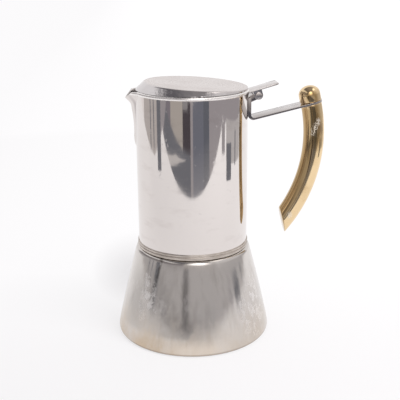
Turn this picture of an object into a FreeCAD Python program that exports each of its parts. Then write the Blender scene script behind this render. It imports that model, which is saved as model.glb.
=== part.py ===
"""Stovetop moka pot: conical steel boiler, screwed-on collector with hinged lid, brass handle.

Millimetres. +Z is up and runs along the pot's axis, the handle points to +X, the spout to -X and the
safety valve to +Y. The origin is on the axis, on the surface that the pot stands on.
"""
import FreeCAD, Part
import math
import os
import re
import Sketcher

Vector = FreeCAD.Vector

# Driving dimensions, one sheet cell each
DRIVING = (
    # Boiler: a cone with a rounded shoulder and a neck
    ("base_radius", 52.25),
    ("boiler_height", 60.2),
    ("shoulder_stand", 1.44),
    ("boiler_wall", 1.2),
    ("boiler_floor", 1.6),
    ("base_rounding", 1.6),
    ("shoulder_rounding", 2.2),
    ("neck_wall", 1.6),
    ("neck_rise", 11.3),
    # Funnel that hangs in the neck
    ("flange_inset", 0.35),
    ("flange_thickness", 0.8),
    ("basket_clearance", 0.6),
    ("basket_depth", 22.0),
    ("basket_ledge", 1.4),
    ("funnel_wall", 0.7),
    ("funnel_drop", 11.0),
    ("sleeve_length", 6.0),
    ("stem_radius", 6.0),
    ("stem_wall", 0.8),
    ("stem_floor_gap", 5.0),
    # Perforated plates
    ("plate_thickness", 0.8),
    ("hole_radius", 0.9),
    ("hole_spacing", 6.2),
    # Gasket and the filter plate that it carries
    ("gasket_thickness", 2.5),
    ("gasket_lip", 0.9),
    ("gasket_clearance", 0.4),
    ("gasket_rim", 4.85),
    ("gasket_ledge", 2.5),
    # Collar with the inner thread
    ("thread_clearance", 1.0),
    ("collar_gap", 0.2),
    ("collar_height", 3.9),
    ("collar_stand", 0.64),
    ("collar_wall", 2.16),
    ("collar_rounding", 1.1),
    ("collar_groove_rise", 2.2),
    ("collar_groove_depth", 0.45),
    ("collar_groove_width", 0.9),
    # Collector
    ("collector_radius", 36.36),
    ("collector_wall", 0.9),
    ("collector_height", 99.0),
    ("bead_radius", 1.1),
    ("bead_overhang", 0.84),
    ("floor_thickness", 1.0),
    ("dome_inset", 1.0),
    ("dome_rise", 7.0),
    ("boss_width", 3.0),
    ("hinge_notch_gap", 0.5),
    ("hinge_notch_drop", 3.3),
    # Spout sections: drop from the rim, how far the ridge stands out and half width at the root
    ("spout_root_depth", 3.36),
    ("spout_nose", 1.2),
    ("spout_foot_drop", 35.8),
    ("spout_foot_stand", -0.26),
    ("spout_foot_half", 6.0),
    ("spout_belly_drop", 30.3),
    ("spout_belly_stand", 1.14),
    ("spout_belly_half", 12.0),
    ("spout_waist_drop", 17.3),
    ("spout_waist_stand", 1.34),
    ("spout_waist_half", 12.0),
    ("spout_throat_drop", 7.3),
    ("spout_throat_stand", 2.94),
    ("spout_throat_half", 12.0),
    ("spout_lip_drop", -2.7),
    ("spout_lip_stand", 12.64),
    ("spout_lip_half", 13.5),
    ("spout_tip_drop", 3.7),
    ("spout_tip_stand", 6.14),
    # Chimney inside the collector
    ("chimney_base_radius", 8.0),
    ("chimney_top_radius", 5.6),
    ("chimney_wall", 0.8),
    ("chimney_rise", 54.0),
    ("chimney_flange", 1.6),
    ("hat_overlap", 4.0),
    ("hat_rise", 6.5),
    ("hat_peak", 2.2),
    ("hat_wall", 0.8),
    ("hat_slot_width", 5.0),
    ("hat_slot_rise", 4.0),
    # Handle: the grip is an arc, the strip points at the arc's centre
    ("handle_arc_inset", 50.86),
    ("handle_arc_drop", 31.5),
    ("handle_arc_radius", 95.1),
    ("strip_angle", 13.2),
    ("strip_width", 14.4),
    ("strip_thickness", 1.3),
    ("strip_end", 7.4),
    ("strip_bend", 2.2),
    ("leg_drop", 4.9),
    ("grip_radius", 6.85),
    ("grip_sweep", 50.8),
    ("grip_slant", 39.6),
    ("cap_overhang", 0.2),
    ("cap_straight", 3.5),
    ("stud_radius", 2.5),
    ("stud_depth", 9.0),
    # Hinge and lid
    ("hinge_reach", 6.04),
    ("hinge_drop", 3.0),
    ("pin_radius", 1.4),
    ("pin_head_radius", 2.0),
    ("pin_head", 0.5),
    ("knuckle_radius", 2.5),
    ("ear_radius", 2.85),
    ("ear_thickness", 1.0),
    ("ear_gap", 0.3),
    ("lever_angle", 16.0),
    ("lever_lift", 2.95),
    ("lever_thickness", 1.0),
    ("lever_reach", 14.4),
    ("lever_corner", 1.5),
    ("lid_gap", 0.3),
    ("lid_inset", 0.36),
    ("lid_lip", 2.8),
    ("lid_wall", 0.8),
    ("lid_taper", 2.8),
    ("lid_top_shift", 3.0),
    ("lid_top_rise", 3.1),
    ("lid_tilt", 3.7),
    ("lid_edge", 0.6),
    ("skirt_clearance", 1.46),
    ("skirt_drop", 4.1),
    # Safety valve on the back of the boiler
    ("valve_height", 31.0),
    ("valve_land", 0.9),
    ("valve_land_radius", 8.0),
    ("valve_stub_radius", 4.0),
    ("valve_stub_length", 8.0),
    ("valve_washer_radius", 6.4),
    ("valve_washer_thickness", 1.0),
    ("valve_hex_flats", 11.0),
    ("valve_hex_height", 4.0),
    ("valve_nose_radius", 4.4),
    ("valve_nose_length", 4.0),
    ("valve_chamber_radius", 2.9),
    ("valve_seat_depth", 2.0),
    ("valve_orifice_radius", 1.6),
    ("valve_cap_radius", 3.4),
    ("valve_cap_thickness", 1.5),
    ("valve_pin_radius", 1.1),
    ("valve_pin_show", 2.0),
    ("poppet_radius", 2.5),
    ("poppet_thickness", 1.5),
    ("valve_nut_flats", 12.0),
    ("valve_nut_height", 3.0),
    ("spring_radius", 2.0),
    ("spring_wire_radius", 0.3),
    ("spring_turns", 6),
    # Gaps: pieces fixed to each other, and pieces that turn or slide on each other
    ("fit_clearance", 0.05),
    ("running_clearance", 0.06),
)

doc = FreeCAD.newDocument("moka_pot")
dims = doc.addObject("Spreadsheet::Sheet", "dims")
for row, (alias, number) in enumerate(DRIVING, start=1):
    dims.set(f"A{row}", alias)
    dims.set(f"B{row}", str(number))
    dims.setAlias(f"B{row}", alias)
doc.recompute()

# Heights and radii that follow from the driving dimensions
COLLECTOR_BORE = "(collector_radius - collector_wall)"
COLLAR_PLUG = f"({COLLECTOR_BORE} - fit_clearance)"
COLLAR_BORE = f"({COLLAR_PLUG} - collar_wall)"
COLLAR_RADIUS = "(collector_radius + collar_stand)"
NECK_RADIUS = f"({COLLAR_BORE} - thread_clearance)"
NECK_TOP = "(boiler_height + neck_rise)"
SHOULDER_RADIUS = "(collector_radius + shoulder_stand)"
CONE_SLOPE = f"((base_radius - {SHOULDER_RADIUS}) / boiler_height)"
WALL_RUN = f"(boiler_wall * sqrt(1 + {CONE_SLOPE} * {CONE_SLOPE}))"
BASKET_RADIUS = f"({NECK_RADIUS} - neck_wall - basket_clearance)"
BASKET_BORE = f"({BASKET_RADIUS} - funnel_wall)"
BASKET_FLOOR = f"({NECK_TOP} - basket_depth)"
FUNNEL_END = f"({BASKET_FLOOR} - funnel_drop)"
FLANGE_RADIUS = f"({NECK_RADIUS} - flange_inset)"
FLANGE_TOP = f"({NECK_TOP} + flange_thickness)"
GASKET_RADIUS = f"({COLLAR_BORE} - gasket_clearance)"
PLATE_RADIUS = f"({GASKET_RADIUS} - gasket_rim)"
GASKET_OPENING = f"({PLATE_RADIUS} - gasket_ledge)"
FLOOR_HEIGHT = f"({FLANGE_TOP} + gasket_thickness)"
FLOOR_FLAT_RADIUS = f"({PLATE_RADIUS} - dome_inset)"
DOME_TOP = f"({FLOOR_HEIGHT} + dome_rise)"
CHIMNEY_TOP = f"({DOME_TOP} + chimney_rise)"
COLLAR_BOTTOM = "(boiler_height + collar_gap)"
COLLECTOR_BOTTOM = f"({COLLAR_BOTTOM} + collar_height)"
RIM_HEIGHT = f"({COLLECTOR_BOTTOM} + collector_height)"
BEAD_STAND = "(collector_radius + bead_overhang)"
BEAD_CENTRE = f"({BEAD_STAND} - bead_radius)"
BEAD_TOP = f"({RIM_HEIGHT} + bead_radius)"
LID_BOTTOM = f"({BEAD_TOP} + lid_gap)"
LID_RADIUS = "(collector_radius - lid_inset)"
LID_TOP_RADIUS = f"({LID_RADIUS} - lid_taper)"
LID_TOP = f"({LID_BOTTOM} + lid_top_rise)"
SKIRT_RADIUS = f"({COLLECTOR_BORE} - skirt_clearance)"
ARC_X = "(collector_radius - handle_arc_inset)"
ARC_Z = f"({RIM_HEIGHT} - handle_arc_drop)"
HINGE_X = "(collector_radius + hinge_reach)"
HINGE_Z = f"({RIM_HEIGHT} - hinge_drop)"
LEG_OUT = "(collector_radius + fit_clearance + strip_thickness)"
LEG_IN = "sqrt(collector_radius * collector_radius - strip_width * strip_width / 4)"
LEG_TOP = f"({RIM_HEIGHT} - leg_drop)"
KNUCKLE_WIDTH = "(strip_width - 2 * ear_thickness - 2 * ear_gap)"


def bound(text):
    """The expression with each dimension's name pointing at its sheet cell."""
    return re.sub(r"[a-z]+(?:_[a-z]+)+", lambda name: "dims." + name.group(0), text)


def measure(text):
    """The expression's value now, as a plain number."""
    return float(dims.evalExpression(bound(text)))


def new_body(name):
    body = doc.addObject("PartDesign::Body", name)
    body.Label = name
    return body


def new_sketch(body, name, plane, offset=None):
    """A sketch on one of the body's own planes; offset gives a turn axis and bound offset values."""
    sketch = body.newObject("Sketcher::SketchObject", name)
    planes = {feature.Role: feature for feature in body.Origin.OriginFeatures}
    sketch.AttachmentSupport = [(planes[plane], "")]
    sketch.MapMode = "FlatFace"
    if offset:
        axis, values = offset
        sketch.AttachmentOffset = FreeCAD.Placement(Vector(), FreeCAD.Rotation(axis, 1))
        for path, text in values.items():
            sketch.setExpression("AttachmentOffset." + path, bound(text))
    return sketch


def pin_point(sketch, side, end, coordinates):
    """Ties a point of the sketch to its bound x and y; a coordinate of None stays free."""
    for kind, text in zip(("DistanceX", "DistanceY"), coordinates):
        if text is None:
            continue
        number = sketch.addConstraint(Sketcher.Constraint(kind, side, end, measure(text)))
        if text != "0":
            sketch.setExpression(f"Constraints[{number}]", bound(text))


def outline(body, name, plane, corners, offset=None, arcs=None):
    """A closed outline through corners, pairs of expressions.

    arcs gives, for the number of a side, the centre of its anticlockwise arc. The corner that such a
    side ends on is held by its x alone, because the arc gives its y.
    """
    sketch = new_sketch(body, name, plane, offset)
    arcs = arcs or {}
    points = [Vector(measure(x), measure(y), 0) for x, y in corners]
    count = len(corners)
    for side in range(count):
        start = points[side]
        end = points[(side + 1) % count]
        if side in arcs:
            centre = Vector(measure(arcs[side][0]), measure(arcs[side][1]), 0)
            circle = Part.Circle(centre, Vector(0, 0, 1), (start - centre).Length)
            sketch.addGeometry(Part.ArcOfCircle(circle, circle.parameter(start), circle.parameter(end)))
        else:
            sketch.addGeometry(Part.LineSegment(start, end))
    for side in range(count):
        sketch.addConstraint(Sketcher.Constraint("Coincident", side, 2, (side + 1) % count, 1))
    for side, (x, y) in enumerate(corners):
        after_arc = (side - 1) % count in arcs
        pin_point(sketch, side, 1, (x, None if after_arc else y))
    for side, centre in arcs.items():
        pin_point(sketch, side, 3, centre)
    return sketch


def disc(body, name, plane, radius, centre=("0", "0"), offset=None):
    """A sketch of one circle."""
    sketch = new_sketch(body, name, plane, offset)
    middle = Vector(measure(centre[0]), measure(centre[1]), 0)
    sketch.addGeometry(Part.Circle(middle, Vector(0, 0, 1), measure(radius)))
    pin_point(sketch, 0, 3, centre)
    number = sketch.addConstraint(Sketcher.Constraint("Radius", 0, measure(radius)))
    sketch.setExpression(f"Constraints[{number}]", bound(radius))
    return sketch


def hexagon(body, name, flats):
    """A hexagon about the origin of the XY plane, given by its width across flats."""
    corners = []
    for corner in range(6):
        turn = f"{60 * corner}deg"
        corners.append((f"{flats} / sqrt(3) * cos({turn})", f"{flats} / sqrt(3) * sin({turn})"))
    return outline(body, name, "XY_Plane", corners)


def revolve(body, name, sketch, kind="Revolution", angle="360"):
    """Turns the sketch about its own vertical axis."""
    feature = body.newObject("PartDesign::" + kind, name)
    feature.Profile = sketch
    feature.ReferenceAxis = (sketch, ["V_Axis"])
    feature.setExpression("Angle", bound(angle))
    doc.recompute()
    return feature


def extrude(body, name, sketch, length, kind="Pad", side="Symmetric", back=None):
    """Pads or pockets the sketch: Symmetric splits the length, back is the length of a second side."""
    feature = body.newObject("PartDesign::" + kind, name)
    feature.Profile = sketch
    feature.SideType = "Two sides" if back else side
    feature.setExpression("Length", bound(length))
    if back:
        feature.setExpression("Length2", bound(back))
    doc.recompute()
    return feature


def loft(body, name, sections, kind, ruled):
    feature = body.newObject("PartDesign::" + kind, name)
    feature.Profile = sections[0]
    feature.Sections = sections[1:]
    feature.Ruled = ruled
    doc.recompute()
    return feature


def soften(body, name, base, radius, chosen):
    """Rounds the edges of the base feature that the test picks."""
    edges = [f"Edge{number}" for number, edge in enumerate(base.Shape.Edges, start=1) if chosen(edge)]
    feature = body.newObject("PartDesign::Fillet", name)
    feature.Base = (base, edges)
    feature.setExpression("Radius", bound(radius))
    doc.recompute()
    return feature


def ring_at(radius, height):
    """Test for a full circle about the pot's axis."""
    def chosen(edge):
        if not isinstance(edge.Curve, Part.Circle):
            return False
        centre = edge.Curve.Center
        same_size = abs(edge.Curve.Radius - measure(radius)) < 0.01
        return same_size and abs(centre.z - measure(height)) < 0.01 and centre.x ** 2 + centre.y ** 2 < 0.01
    return chosen


def line_through(x, z):
    """Test for a straight edge along Y through a point of the XZ plane."""
    def chosen(edge):
        box = edge.BoundBox
        across = box.XLength + box.ZLength < 0.01
        return across and abs(box.XMin - measure(x)) < 0.01 and abs(box.ZMin - measure(z)) < 0.01
    return chosen


def perforate(body, height, rings):
    """Drills rings of holes, six more in each ring, with one in the middle."""
    level = (Vector(0, 0, 1), {"Base.z": height})
    hole = disc(body, "middle_hole", "XY_Plane", "hole_radius", offset=level)
    extrude(body, "middle_drill", hole, "4 * plate_thickness", "Pocket")
    for ring in range(1, rings + 1):
        hole = disc(body, f"hole_{ring}", "XY_Plane", "hole_radius", (f"{ring} * hole_spacing", "0"), level)
        drill = extrude(body, f"drill_{ring}", hole, "4 * plate_thickness", "Pocket")
        pattern = body.newObject("PartDesign::PolarPattern", f"ring_{ring}")
        pattern.Originals = [drill]
        pattern.Axis = (hole, ["N_Axis"])
        pattern.Angle = 360
        pattern.Occurrences = 6 * ring
        body.Tip = pattern
        doc.recompute()


def turned_piece(name, corners, arcs=None):
    """A body made by one turn of an outline of radii and heights."""
    body = new_body(name)
    revolve(body, "turning", outline(body, "profile", "XZ_Plane", corners, arcs=arcs))
    return body


def place_bound(body, axis, values):
    """Sets the body's Placement from bound values, turned about a fixed axis."""
    body.Placement = FreeCAD.Placement(Vector(), FreeCAD.Rotation(axis, 1))
    for path, text in values.items():
        body.setExpression("Placement." + path, bound(text))


def along_strip(reach, rise):
    """A point of the XZ plane, given along the handle strip and square to it from the arc's centre."""
    x = f"{ARC_X} + ({reach}) * cos(strip_angle * 1deg) - ({rise}) * sin(strip_angle * 1deg)"
    z = f"{ARC_Z} + ({reach}) * sin(strip_angle * 1deg) + ({rise}) * cos(strip_angle * 1deg)"
    return x, z


def along_lever(reach, rise):
    """A point of the XZ plane, given along the lid's lever and square to it from the hinge."""
    x = f"{HINGE_X} + ({reach}) * cos(lever_angle * 1deg) - ({rise}) * sin(lever_angle * 1deg)"
    z = f"{HINGE_Z} + ({reach}) * sin(lever_angle * 1deg) + ({rise}) * cos(lever_angle * 1deg)"
    return x, z


# Safety valve frame: on the outside of the cone at the back, along the wall's outward normal
VALVE_TURN = Vector(-1, 0, 0)
VALVE_FRAME = {
    "Base.y": f"base_radius - {CONE_SLOPE} * valve_height",
    "Base.z": "valve_height",
    "Rotation.Angle": f"90deg - atan({CONE_SLOPE})",
}

# Boiler: turned shell with a flat land for the valve
boiler = new_body("boiler_shell")
boiler_turning = revolve(boiler, "turning", outline(boiler, "profile", "XZ_Plane", [
    ("0", "0"),
    ("base_radius", "0"),
    (SHOULDER_RADIUS, "boiler_height"),
    (NECK_RADIUS, "boiler_height"),
    (NECK_RADIUS, NECK_TOP),
    (f"{NECK_RADIUS} - neck_wall", NECK_TOP),
    (f"{NECK_RADIUS} - neck_wall", "boiler_height - boiler_wall"),
    (f"{SHOULDER_RADIUS} + {CONE_SLOPE} * boiler_wall - {WALL_RUN}", "boiler_height - boiler_wall"),
    (f"base_radius - {CONE_SLOPE} * boiler_floor - {WALL_RUN}", "boiler_floor"),
    ("0", "boiler_floor"),
]))
boiler_base = soften(boiler, "base_round", boiler_turning, "base_rounding", ring_at("base_radius", "0"))
soften(boiler, "shoulder_round", boiler_base, "shoulder_rounding",
       ring_at(SHOULDER_RADIUS, "boiler_height"))
valve_land = disc(boiler, "valve_land", "XY_Plane", "valve_land_radius", offset=(VALVE_TURN, VALVE_FRAME))
extrude(boiler, "valve_boss", valve_land, "valve_land", back="boiler_wall + valve_land")
valve_hole = disc(boiler, "valve_hole", "XY_Plane", "valve_stub_radius + fit_clearance",
                  offset=(VALVE_TURN, VALVE_FRAME))
extrude(boiler, "valve_bore", valve_hole, "6 * (boiler_wall + valve_land)", "Pocket")

# Funnel: basket with a flange that sits on the neck, cone and sleeve for the stem
SLEEVE_BORE = "(stem_radius + fit_clearance)"
LEDGE_RADIUS = f"({BASKET_BORE} - basket_ledge)"
turned_piece("funnel_basket", [
    (FLANGE_RADIUS, NECK_TOP),
    (FLANGE_RADIUS, FLANGE_TOP),
    (BASKET_BORE, FLANGE_TOP),
    (BASKET_BORE, BASKET_FLOOR),
    (LEDGE_RADIUS, BASKET_FLOOR),
    (SLEEVE_BORE, FUNNEL_END),
    (SLEEVE_BORE, f"{FUNNEL_END} - sleeve_length"),
    (f"{SLEEVE_BORE} + funnel_wall", f"{FUNNEL_END} - sleeve_length"),
    (f"{SLEEVE_BORE} + funnel_wall", f"{FUNNEL_END} - funnel_wall"),
    (f"{LEDGE_RADIUS} + funnel_wall", f"{BASKET_FLOOR} - funnel_wall"),
    (BASKET_RADIUS, f"{BASKET_FLOOR} - funnel_wall"),
    (BASKET_RADIUS, NECK_TOP),
])
turned_piece("funnel_stem", [
    ("stem_radius - stem_wall", "boiler_floor + stem_floor_gap"),
    ("stem_radius", "boiler_floor + stem_floor_gap"),
    ("stem_radius", FUNNEL_END),
    ("stem_radius - stem_wall", FUNNEL_END),
])
funnel_filter = new_body("funnel_filter")
filter_disc = disc(funnel_filter, "blank", "XY_Plane", f"{BASKET_BORE} - fit_clearance",
                   offset=(Vector(0, 0, 1), {"Base.z": BASKET_FLOOR}))
extrude(funnel_filter, "sheet", filter_disc, "plate_thickness", side="One side")
perforate(funnel_filter, BASKET_FLOOR, 2)

# Gasket with a lip that carries the filter plate
PLATE_SEAT = f"({FLANGE_TOP} + gasket_lip)"
turned_piece("gasket", [
    (GASKET_OPENING, FLANGE_TOP),
    (GASKET_RADIUS, FLANGE_TOP),
    (GASKET_RADIUS, FLOOR_HEIGHT),
    (f"{PLATE_RADIUS} + fit_clearance", FLOOR_HEIGHT),
    (f"{PLATE_RADIUS} + fit_clearance", PLATE_SEAT),
    (GASKET_OPENING, PLATE_SEAT),
])
filter_plate = new_body("filter_plate")
plate_disc = disc(filter_plate, "blank", "XY_Plane", PLATE_RADIUS,
                  offset=(Vector(0, 0, 1), {"Base.z": PLATE_SEAT}))
extrude(filter_plate, "sheet", plate_disc, "plate_thickness", side="One side")
perforate(filter_plate, PLATE_SEAT, 3)

# Threaded collar: a turned ring, grooved into two beads, its upper part plugged into the collector
GROOVE_MIDDLE = f"({COLLAR_BOTTOM} + collar_groove_rise)"
collar = new_body("threaded_collar")
collar_turning = revolve(collar, "turning", outline(collar, "profile", "XZ_Plane", [
    (COLLAR_BORE, COLLAR_BOTTOM),
    (COLLAR_RADIUS, COLLAR_BOTTOM),
    (COLLAR_RADIUS, f"{GROOVE_MIDDLE} - collar_groove_width / 2"),
    (f"{COLLAR_RADIUS} - collar_groove_depth", GROOVE_MIDDLE),
    (COLLAR_RADIUS, f"{GROOVE_MIDDLE} + collar_groove_width / 2"),
    (COLLAR_RADIUS, COLLECTOR_BOTTOM),
    (COLLAR_PLUG, COLLECTOR_BOTTOM),
    (COLLAR_PLUG, FLOOR_HEIGHT),
    (COLLAR_BORE, FLOOR_HEIGHT),
]))
soften(collar, "lower_bead", collar_turning, "collar_rounding", ring_at(COLLAR_RADIUS, COLLAR_BOTTOM))

# Floor of the collector, domed up to the chimney's seat
BOSS_RADIUS = "(chimney_base_radius + boss_width)"
CHIMNEY_SEAT = "(chimney_base_radius + fit_clearance)"
turned_piece("collector_floor", [
    (COLLAR_PLUG, FLOOR_HEIGHT),
    (COLLAR_PLUG, f"{FLOOR_HEIGHT} + floor_thickness"),
    (FLOOR_FLAT_RADIUS, f"{FLOOR_HEIGHT} + floor_thickness"),
    (BOSS_RADIUS, f"{DOME_TOP} + floor_thickness"),
    (CHIMNEY_SEAT, f"{DOME_TOP} + floor_thickness"),
    (CHIMNEY_SEAT, DOME_TOP),
    (BOSS_RADIUS, DOME_TOP),
    (FLOOR_FLAT_RADIUS, FLOOR_HEIGHT),
])

# Chimney: tapered riser with a flange under the dome, straight at the top for its hat
CHIMNEY_BORE = "(chimney_top_radius - chimney_wall)"
turned_piece("chimney", [
    ("chimney_base_radius - chimney_wall", f"{DOME_TOP} - chimney_wall"),
    ("chimney_base_radius + chimney_flange", f"{DOME_TOP} - chimney_wall"),
    ("chimney_base_radius + chimney_flange", DOME_TOP),
    ("chimney_base_radius", DOME_TOP),
    ("chimney_base_radius", f"{DOME_TOP} + floor_thickness"),
    ("chimney_top_radius", f"{CHIMNEY_TOP} - hat_overlap"),
    ("chimney_top_radius", CHIMNEY_TOP),
    (CHIMNEY_BORE, CHIMNEY_TOP),
    (CHIMNEY_BORE, f"{CHIMNEY_TOP} - hat_overlap"),
    ("chimney_base_radius - chimney_wall", f"{DOME_TOP} + floor_thickness"),
])

# Hat of the chimney, with an outlet slot on each side
HAT_BORE = "(chimney_top_radius + fit_clearance)"
HAT_SHOULDER = f"({CHIMNEY_TOP} + hat_rise)"
hat = turned_piece("chimney_cap", [
    (HAT_BORE, f"{CHIMNEY_TOP} - hat_overlap"),
    (f"{HAT_BORE} + hat_wall", f"{CHIMNEY_TOP} - hat_overlap"),
    (f"{HAT_BORE} + hat_wall", HAT_SHOULDER),
    ("0", f"{HAT_SHOULDER} + hat_peak"),
    ("0", f"{HAT_SHOULDER} + hat_peak - hat_wall"),
    (CHIMNEY_BORE, f"{HAT_SHOULDER} - hat_wall"),
    (CHIMNEY_BORE, CHIMNEY_TOP),
    (HAT_BORE, CHIMNEY_TOP),
])
hat_slot = outline(hat, "slot", "YZ_Plane", [
    ("-hat_slot_width / 2", f"{CHIMNEY_TOP} + hat_wall"),
    ("hat_slot_width / 2", f"{CHIMNEY_TOP} + hat_wall"),
    ("hat_slot_width / 2", f"{CHIMNEY_TOP} + hat_wall + hat_slot_rise"),
    ("-hat_slot_width / 2", f"{CHIMNEY_TOP} + hat_wall + hat_slot_rise"),
])
extrude(hat, "outlets", hat_slot, "4 * chimney_top_radius", "Pocket")

# Collector: drawn wall with a rolled rim and a pressed spout, notched for the lid's lever
collector = new_body("collector_shell")


def bead_foot(radius):
    """Height at which a wall of this radius runs into the rolled rim."""
    run = f"({radius} - {BEAD_CENTRE})"
    return f"{RIM_HEIGHT} - sqrt(bead_radius * bead_radius - {run} * {run})"


revolve(collector, "drawing", outline(collector, "wall_profile", "XZ_Plane", [
    (COLLECTOR_BORE, COLLECTOR_BOTTOM),
    ("collector_radius", COLLECTOR_BOTTOM),
    ("collector_radius", bead_foot("collector_radius")),
    (COLLECTOR_BORE, bead_foot(COLLECTOR_BORE)),
], arcs={2: (BEAD_CENTRE, RIM_HEIGHT)}))


SPOUT_ROOT = "(collector_radius - spout_root_depth)"


def spout_section(name, part, inset):
    """One level of the spout: a V with a round nose, drawn in from the outer face by the inset."""
    nose = f"spout_nose - {inset} / 2"
    ridge = f"collector_radius + spout_{part}_stand - {inset}"
    half = f"spout_{part}_half - {inset}"
    offset = (Vector(0, 0, 1), {"Base.z": f"{RIM_HEIGHT} - spout_{part}_drop"})
    corners = [
        (f"-{SPOUT_ROOT}", half),
        (f"-({ridge} - ({nose}))", nose),
        (f"-({ridge} - ({nose}))", f"-({nose})"),
        (f"-{SPOUT_ROOT}", f"-({half})"),
    ]
    return outline(collector, f"{name}_{part}", "XY_Plane", corners, offset,
                   arcs={1: (f"-({ridge} - ({nose}))", "0")})


SPOUT_PARTS = ("foot", "belly", "waist", "throat", "lip")
loft(collector, "spout_outside", [spout_section("outer", part, "0") for part in SPOUT_PARTS],
     "AdditiveLoft", False)
bore = disc(collector, "bore_section", "XY_Plane", COLLECTOR_BORE,
            offset=(Vector(0, 0, 1), {"Base.z": COLLECTOR_BOTTOM}))
extrude(collector, "bore", bore, f"2 * {RIM_HEIGHT}", "Pocket")
loft(collector, "spout_channel", [spout_section("inner", part, "collector_wall") for part in SPOUT_PARTS],
     "SubtractiveLoft", False)
TIP_REACH = "(collector_radius + spout_tip_stand)"
TIP_HEIGHT = f"({RIM_HEIGHT} - spout_tip_drop)"
SPOUT_TOP = f"({RIM_HEIGHT} - spout_lip_drop + bead_radius)"
lip_cut = outline(collector, "lip_line", "XZ_Plane", [
    (f"-{TIP_REACH} - spout_lip_stand", f"{TIP_HEIGHT} - spout_lip_stand"),
    (f"-{TIP_REACH} + {BEAD_TOP} - {TIP_HEIGHT}", BEAD_TOP),
    ("0", BEAD_TOP),
    ("0", SPOUT_TOP),
    (f"-{TIP_REACH} - spout_lip_stand", SPOUT_TOP),
])
extrude(collector, "lip_trim", lip_cut, "2 * collector_radius", "Pocket")
NOTCH_FLOOR = f"({RIM_HEIGHT} - hinge_notch_drop)"
notch = outline(collector, "notch", "XZ_Plane", [
    (SPOUT_ROOT, NOTCH_FLOOR),
    (f"{BEAD_STAND} + bead_radius", NOTCH_FLOOR),
    (f"{BEAD_STAND} + bead_radius", LID_BOTTOM),
    (SPOUT_ROOT, LID_BOTTOM),
])
extrude(collector, "hinge_notch", notch, "strip_width + 2 * hinge_notch_gap", "Pocket")

# Handle bracket: one bent strip, curved to the wall, with the hinge knuckle on top
bracket = new_body("handle_bracket")
STRIP_REACH = "handle_arc_radius + strip_end"
STRIP_SLOPE = "tan(strip_angle * 1deg)"
strip_under = f"{ARC_Z} + ({LEG_IN} - {ARC_X}) * {STRIP_SLOPE}"
strip_over = (f"{ARC_Z} + ({LEG_OUT} - {ARC_X}) * {STRIP_SLOPE}"
              " + strip_thickness / cos(strip_angle * 1deg)")
strip_pad = extrude(bracket, "strip", outline(bracket, "strip_profile", "XZ_Plane", [
    (LEG_IN, strip_under),
    along_strip(STRIP_REACH, "0"),
    along_strip(STRIP_REACH, "strip_thickness"),
    (LEG_OUT, strip_over),
    (LEG_OUT, LEG_TOP),
    (LEG_IN, LEG_TOP),
]), "strip_width")
strip_end_x = along_strip(STRIP_REACH, "strip_thickness / 2")[0]


def at_strip_end(edge):
    """Test for the two short edges square to the strip at its far end."""
    middle = edge.BoundBox.Center
    return abs(middle.x - measure(strip_end_x)) < 0.05 and edge.BoundBox.YLength < 0.01


strip_round = soften(bracket, "strip_end", strip_pad, "strip_width / 2 - fit_clearance", at_strip_end)
strip_inside = soften(bracket, "bend_inside", strip_round, "strip_bend", line_through(LEG_OUT, strip_over))
soften(bracket, "bend_outside", strip_inside, "strip_bend + strip_thickness",
       line_through(LEG_IN, strip_under))
extrude(bracket, "arm", outline(bracket, "arm_profile", "XZ_Plane", [
    (LEG_IN, f"{LEG_TOP} - 2 * strip_thickness"),
    (LEG_OUT, f"{LEG_TOP} - 2 * strip_thickness"),
    (HINGE_X, f"{HINGE_Z} - knuckle_radius"),
    (f"{HINGE_X} - knuckle_radius", HINGE_Z),
    (LEG_IN, LEG_TOP),
]), KNUCKLE_WIDTH)
extrude(bracket, "knuckle", disc(bracket, "knuckle_section", "XZ_Plane", "knuckle_radius",
                                 (HINGE_X, HINGE_Z)), KNUCKLE_WIDTH)
extrude(bracket, "pin_bore", disc(bracket, "pin_hole", "XZ_Plane", "pin_radius + fit_clearance",
                                  (HINGE_X, HINGE_Z)), "2 * strip_width", "Pocket")
extrude(bracket, "wall_side", disc(bracket, "wall_curve", "XY_Plane", "collector_radius + fit_clearance"),
        f"4 * {RIM_HEIGHT}", "Pocket")
HANDLE_TURN = Vector(0, -1, 0)
HANDLE_FRAME = {
    "Base.x": ARC_X,
    "Base.z": ARC_Z,
    "Rotation.Angle": "strip_angle",
}
stud_hole = disc(bracket, "stud_hole", "XY_Plane", "stud_radius + fit_clearance",
                 ("handle_arc_radius", "0"), (HANDLE_TURN, HANDLE_FRAME))
extrude(bracket, "stud_bore", stud_hole, "6 * strip_thickness", "Pocket")

# Grip: an arc of round bar below the strip, cut off at a slant
grip = new_body("handle_grip")
place_bound(grip, HANDLE_TURN, HANDLE_FRAME)
grip_section = disc(grip, "section", "XY_Plane", "grip_radius", ("handle_arc_radius", "0"))
revolve(grip, "bent_bar", grip_section, angle="grip_sweep + grip_slant / 2")


def past_grip_end(across, along):
    """A point of the grip's plane, measured along the slanted cut and square to it."""
    cut_turn = "(grip_sweep + grip_slant) * 1deg"
    x = f"handle_arc_radius * cos(grip_sweep * 1deg) + {across} * cos({cut_turn}) - {along} * sin({cut_turn})"
    z = f"-handle_arc_radius * sin(grip_sweep * 1deg) - {across} * sin({cut_turn}) - {along} * cos({cut_turn})"
    return x, z


tip_cut = outline(grip, "tip_line", "XZ_Plane", [
    past_grip_end("-4 * grip_radius", "0"),
    past_grip_end("4 * grip_radius", "0"),
    past_grip_end("4 * grip_radius", "8 * grip_radius"),
    past_grip_end("-4 * grip_radius", "8 * grip_radius"),
])
extrude(grip, "tip_cut", tip_cut, "4 * grip_radius", "Pocket")
grip_hole = disc(grip, "stud_hole", "XY_Plane", "stud_radius + fit_clearance", ("handle_arc_radius", "0"))
extrude(grip, "stud_bore", grip_hole, "stud_depth + fit_clearance", "Pocket", side="One side")

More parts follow.
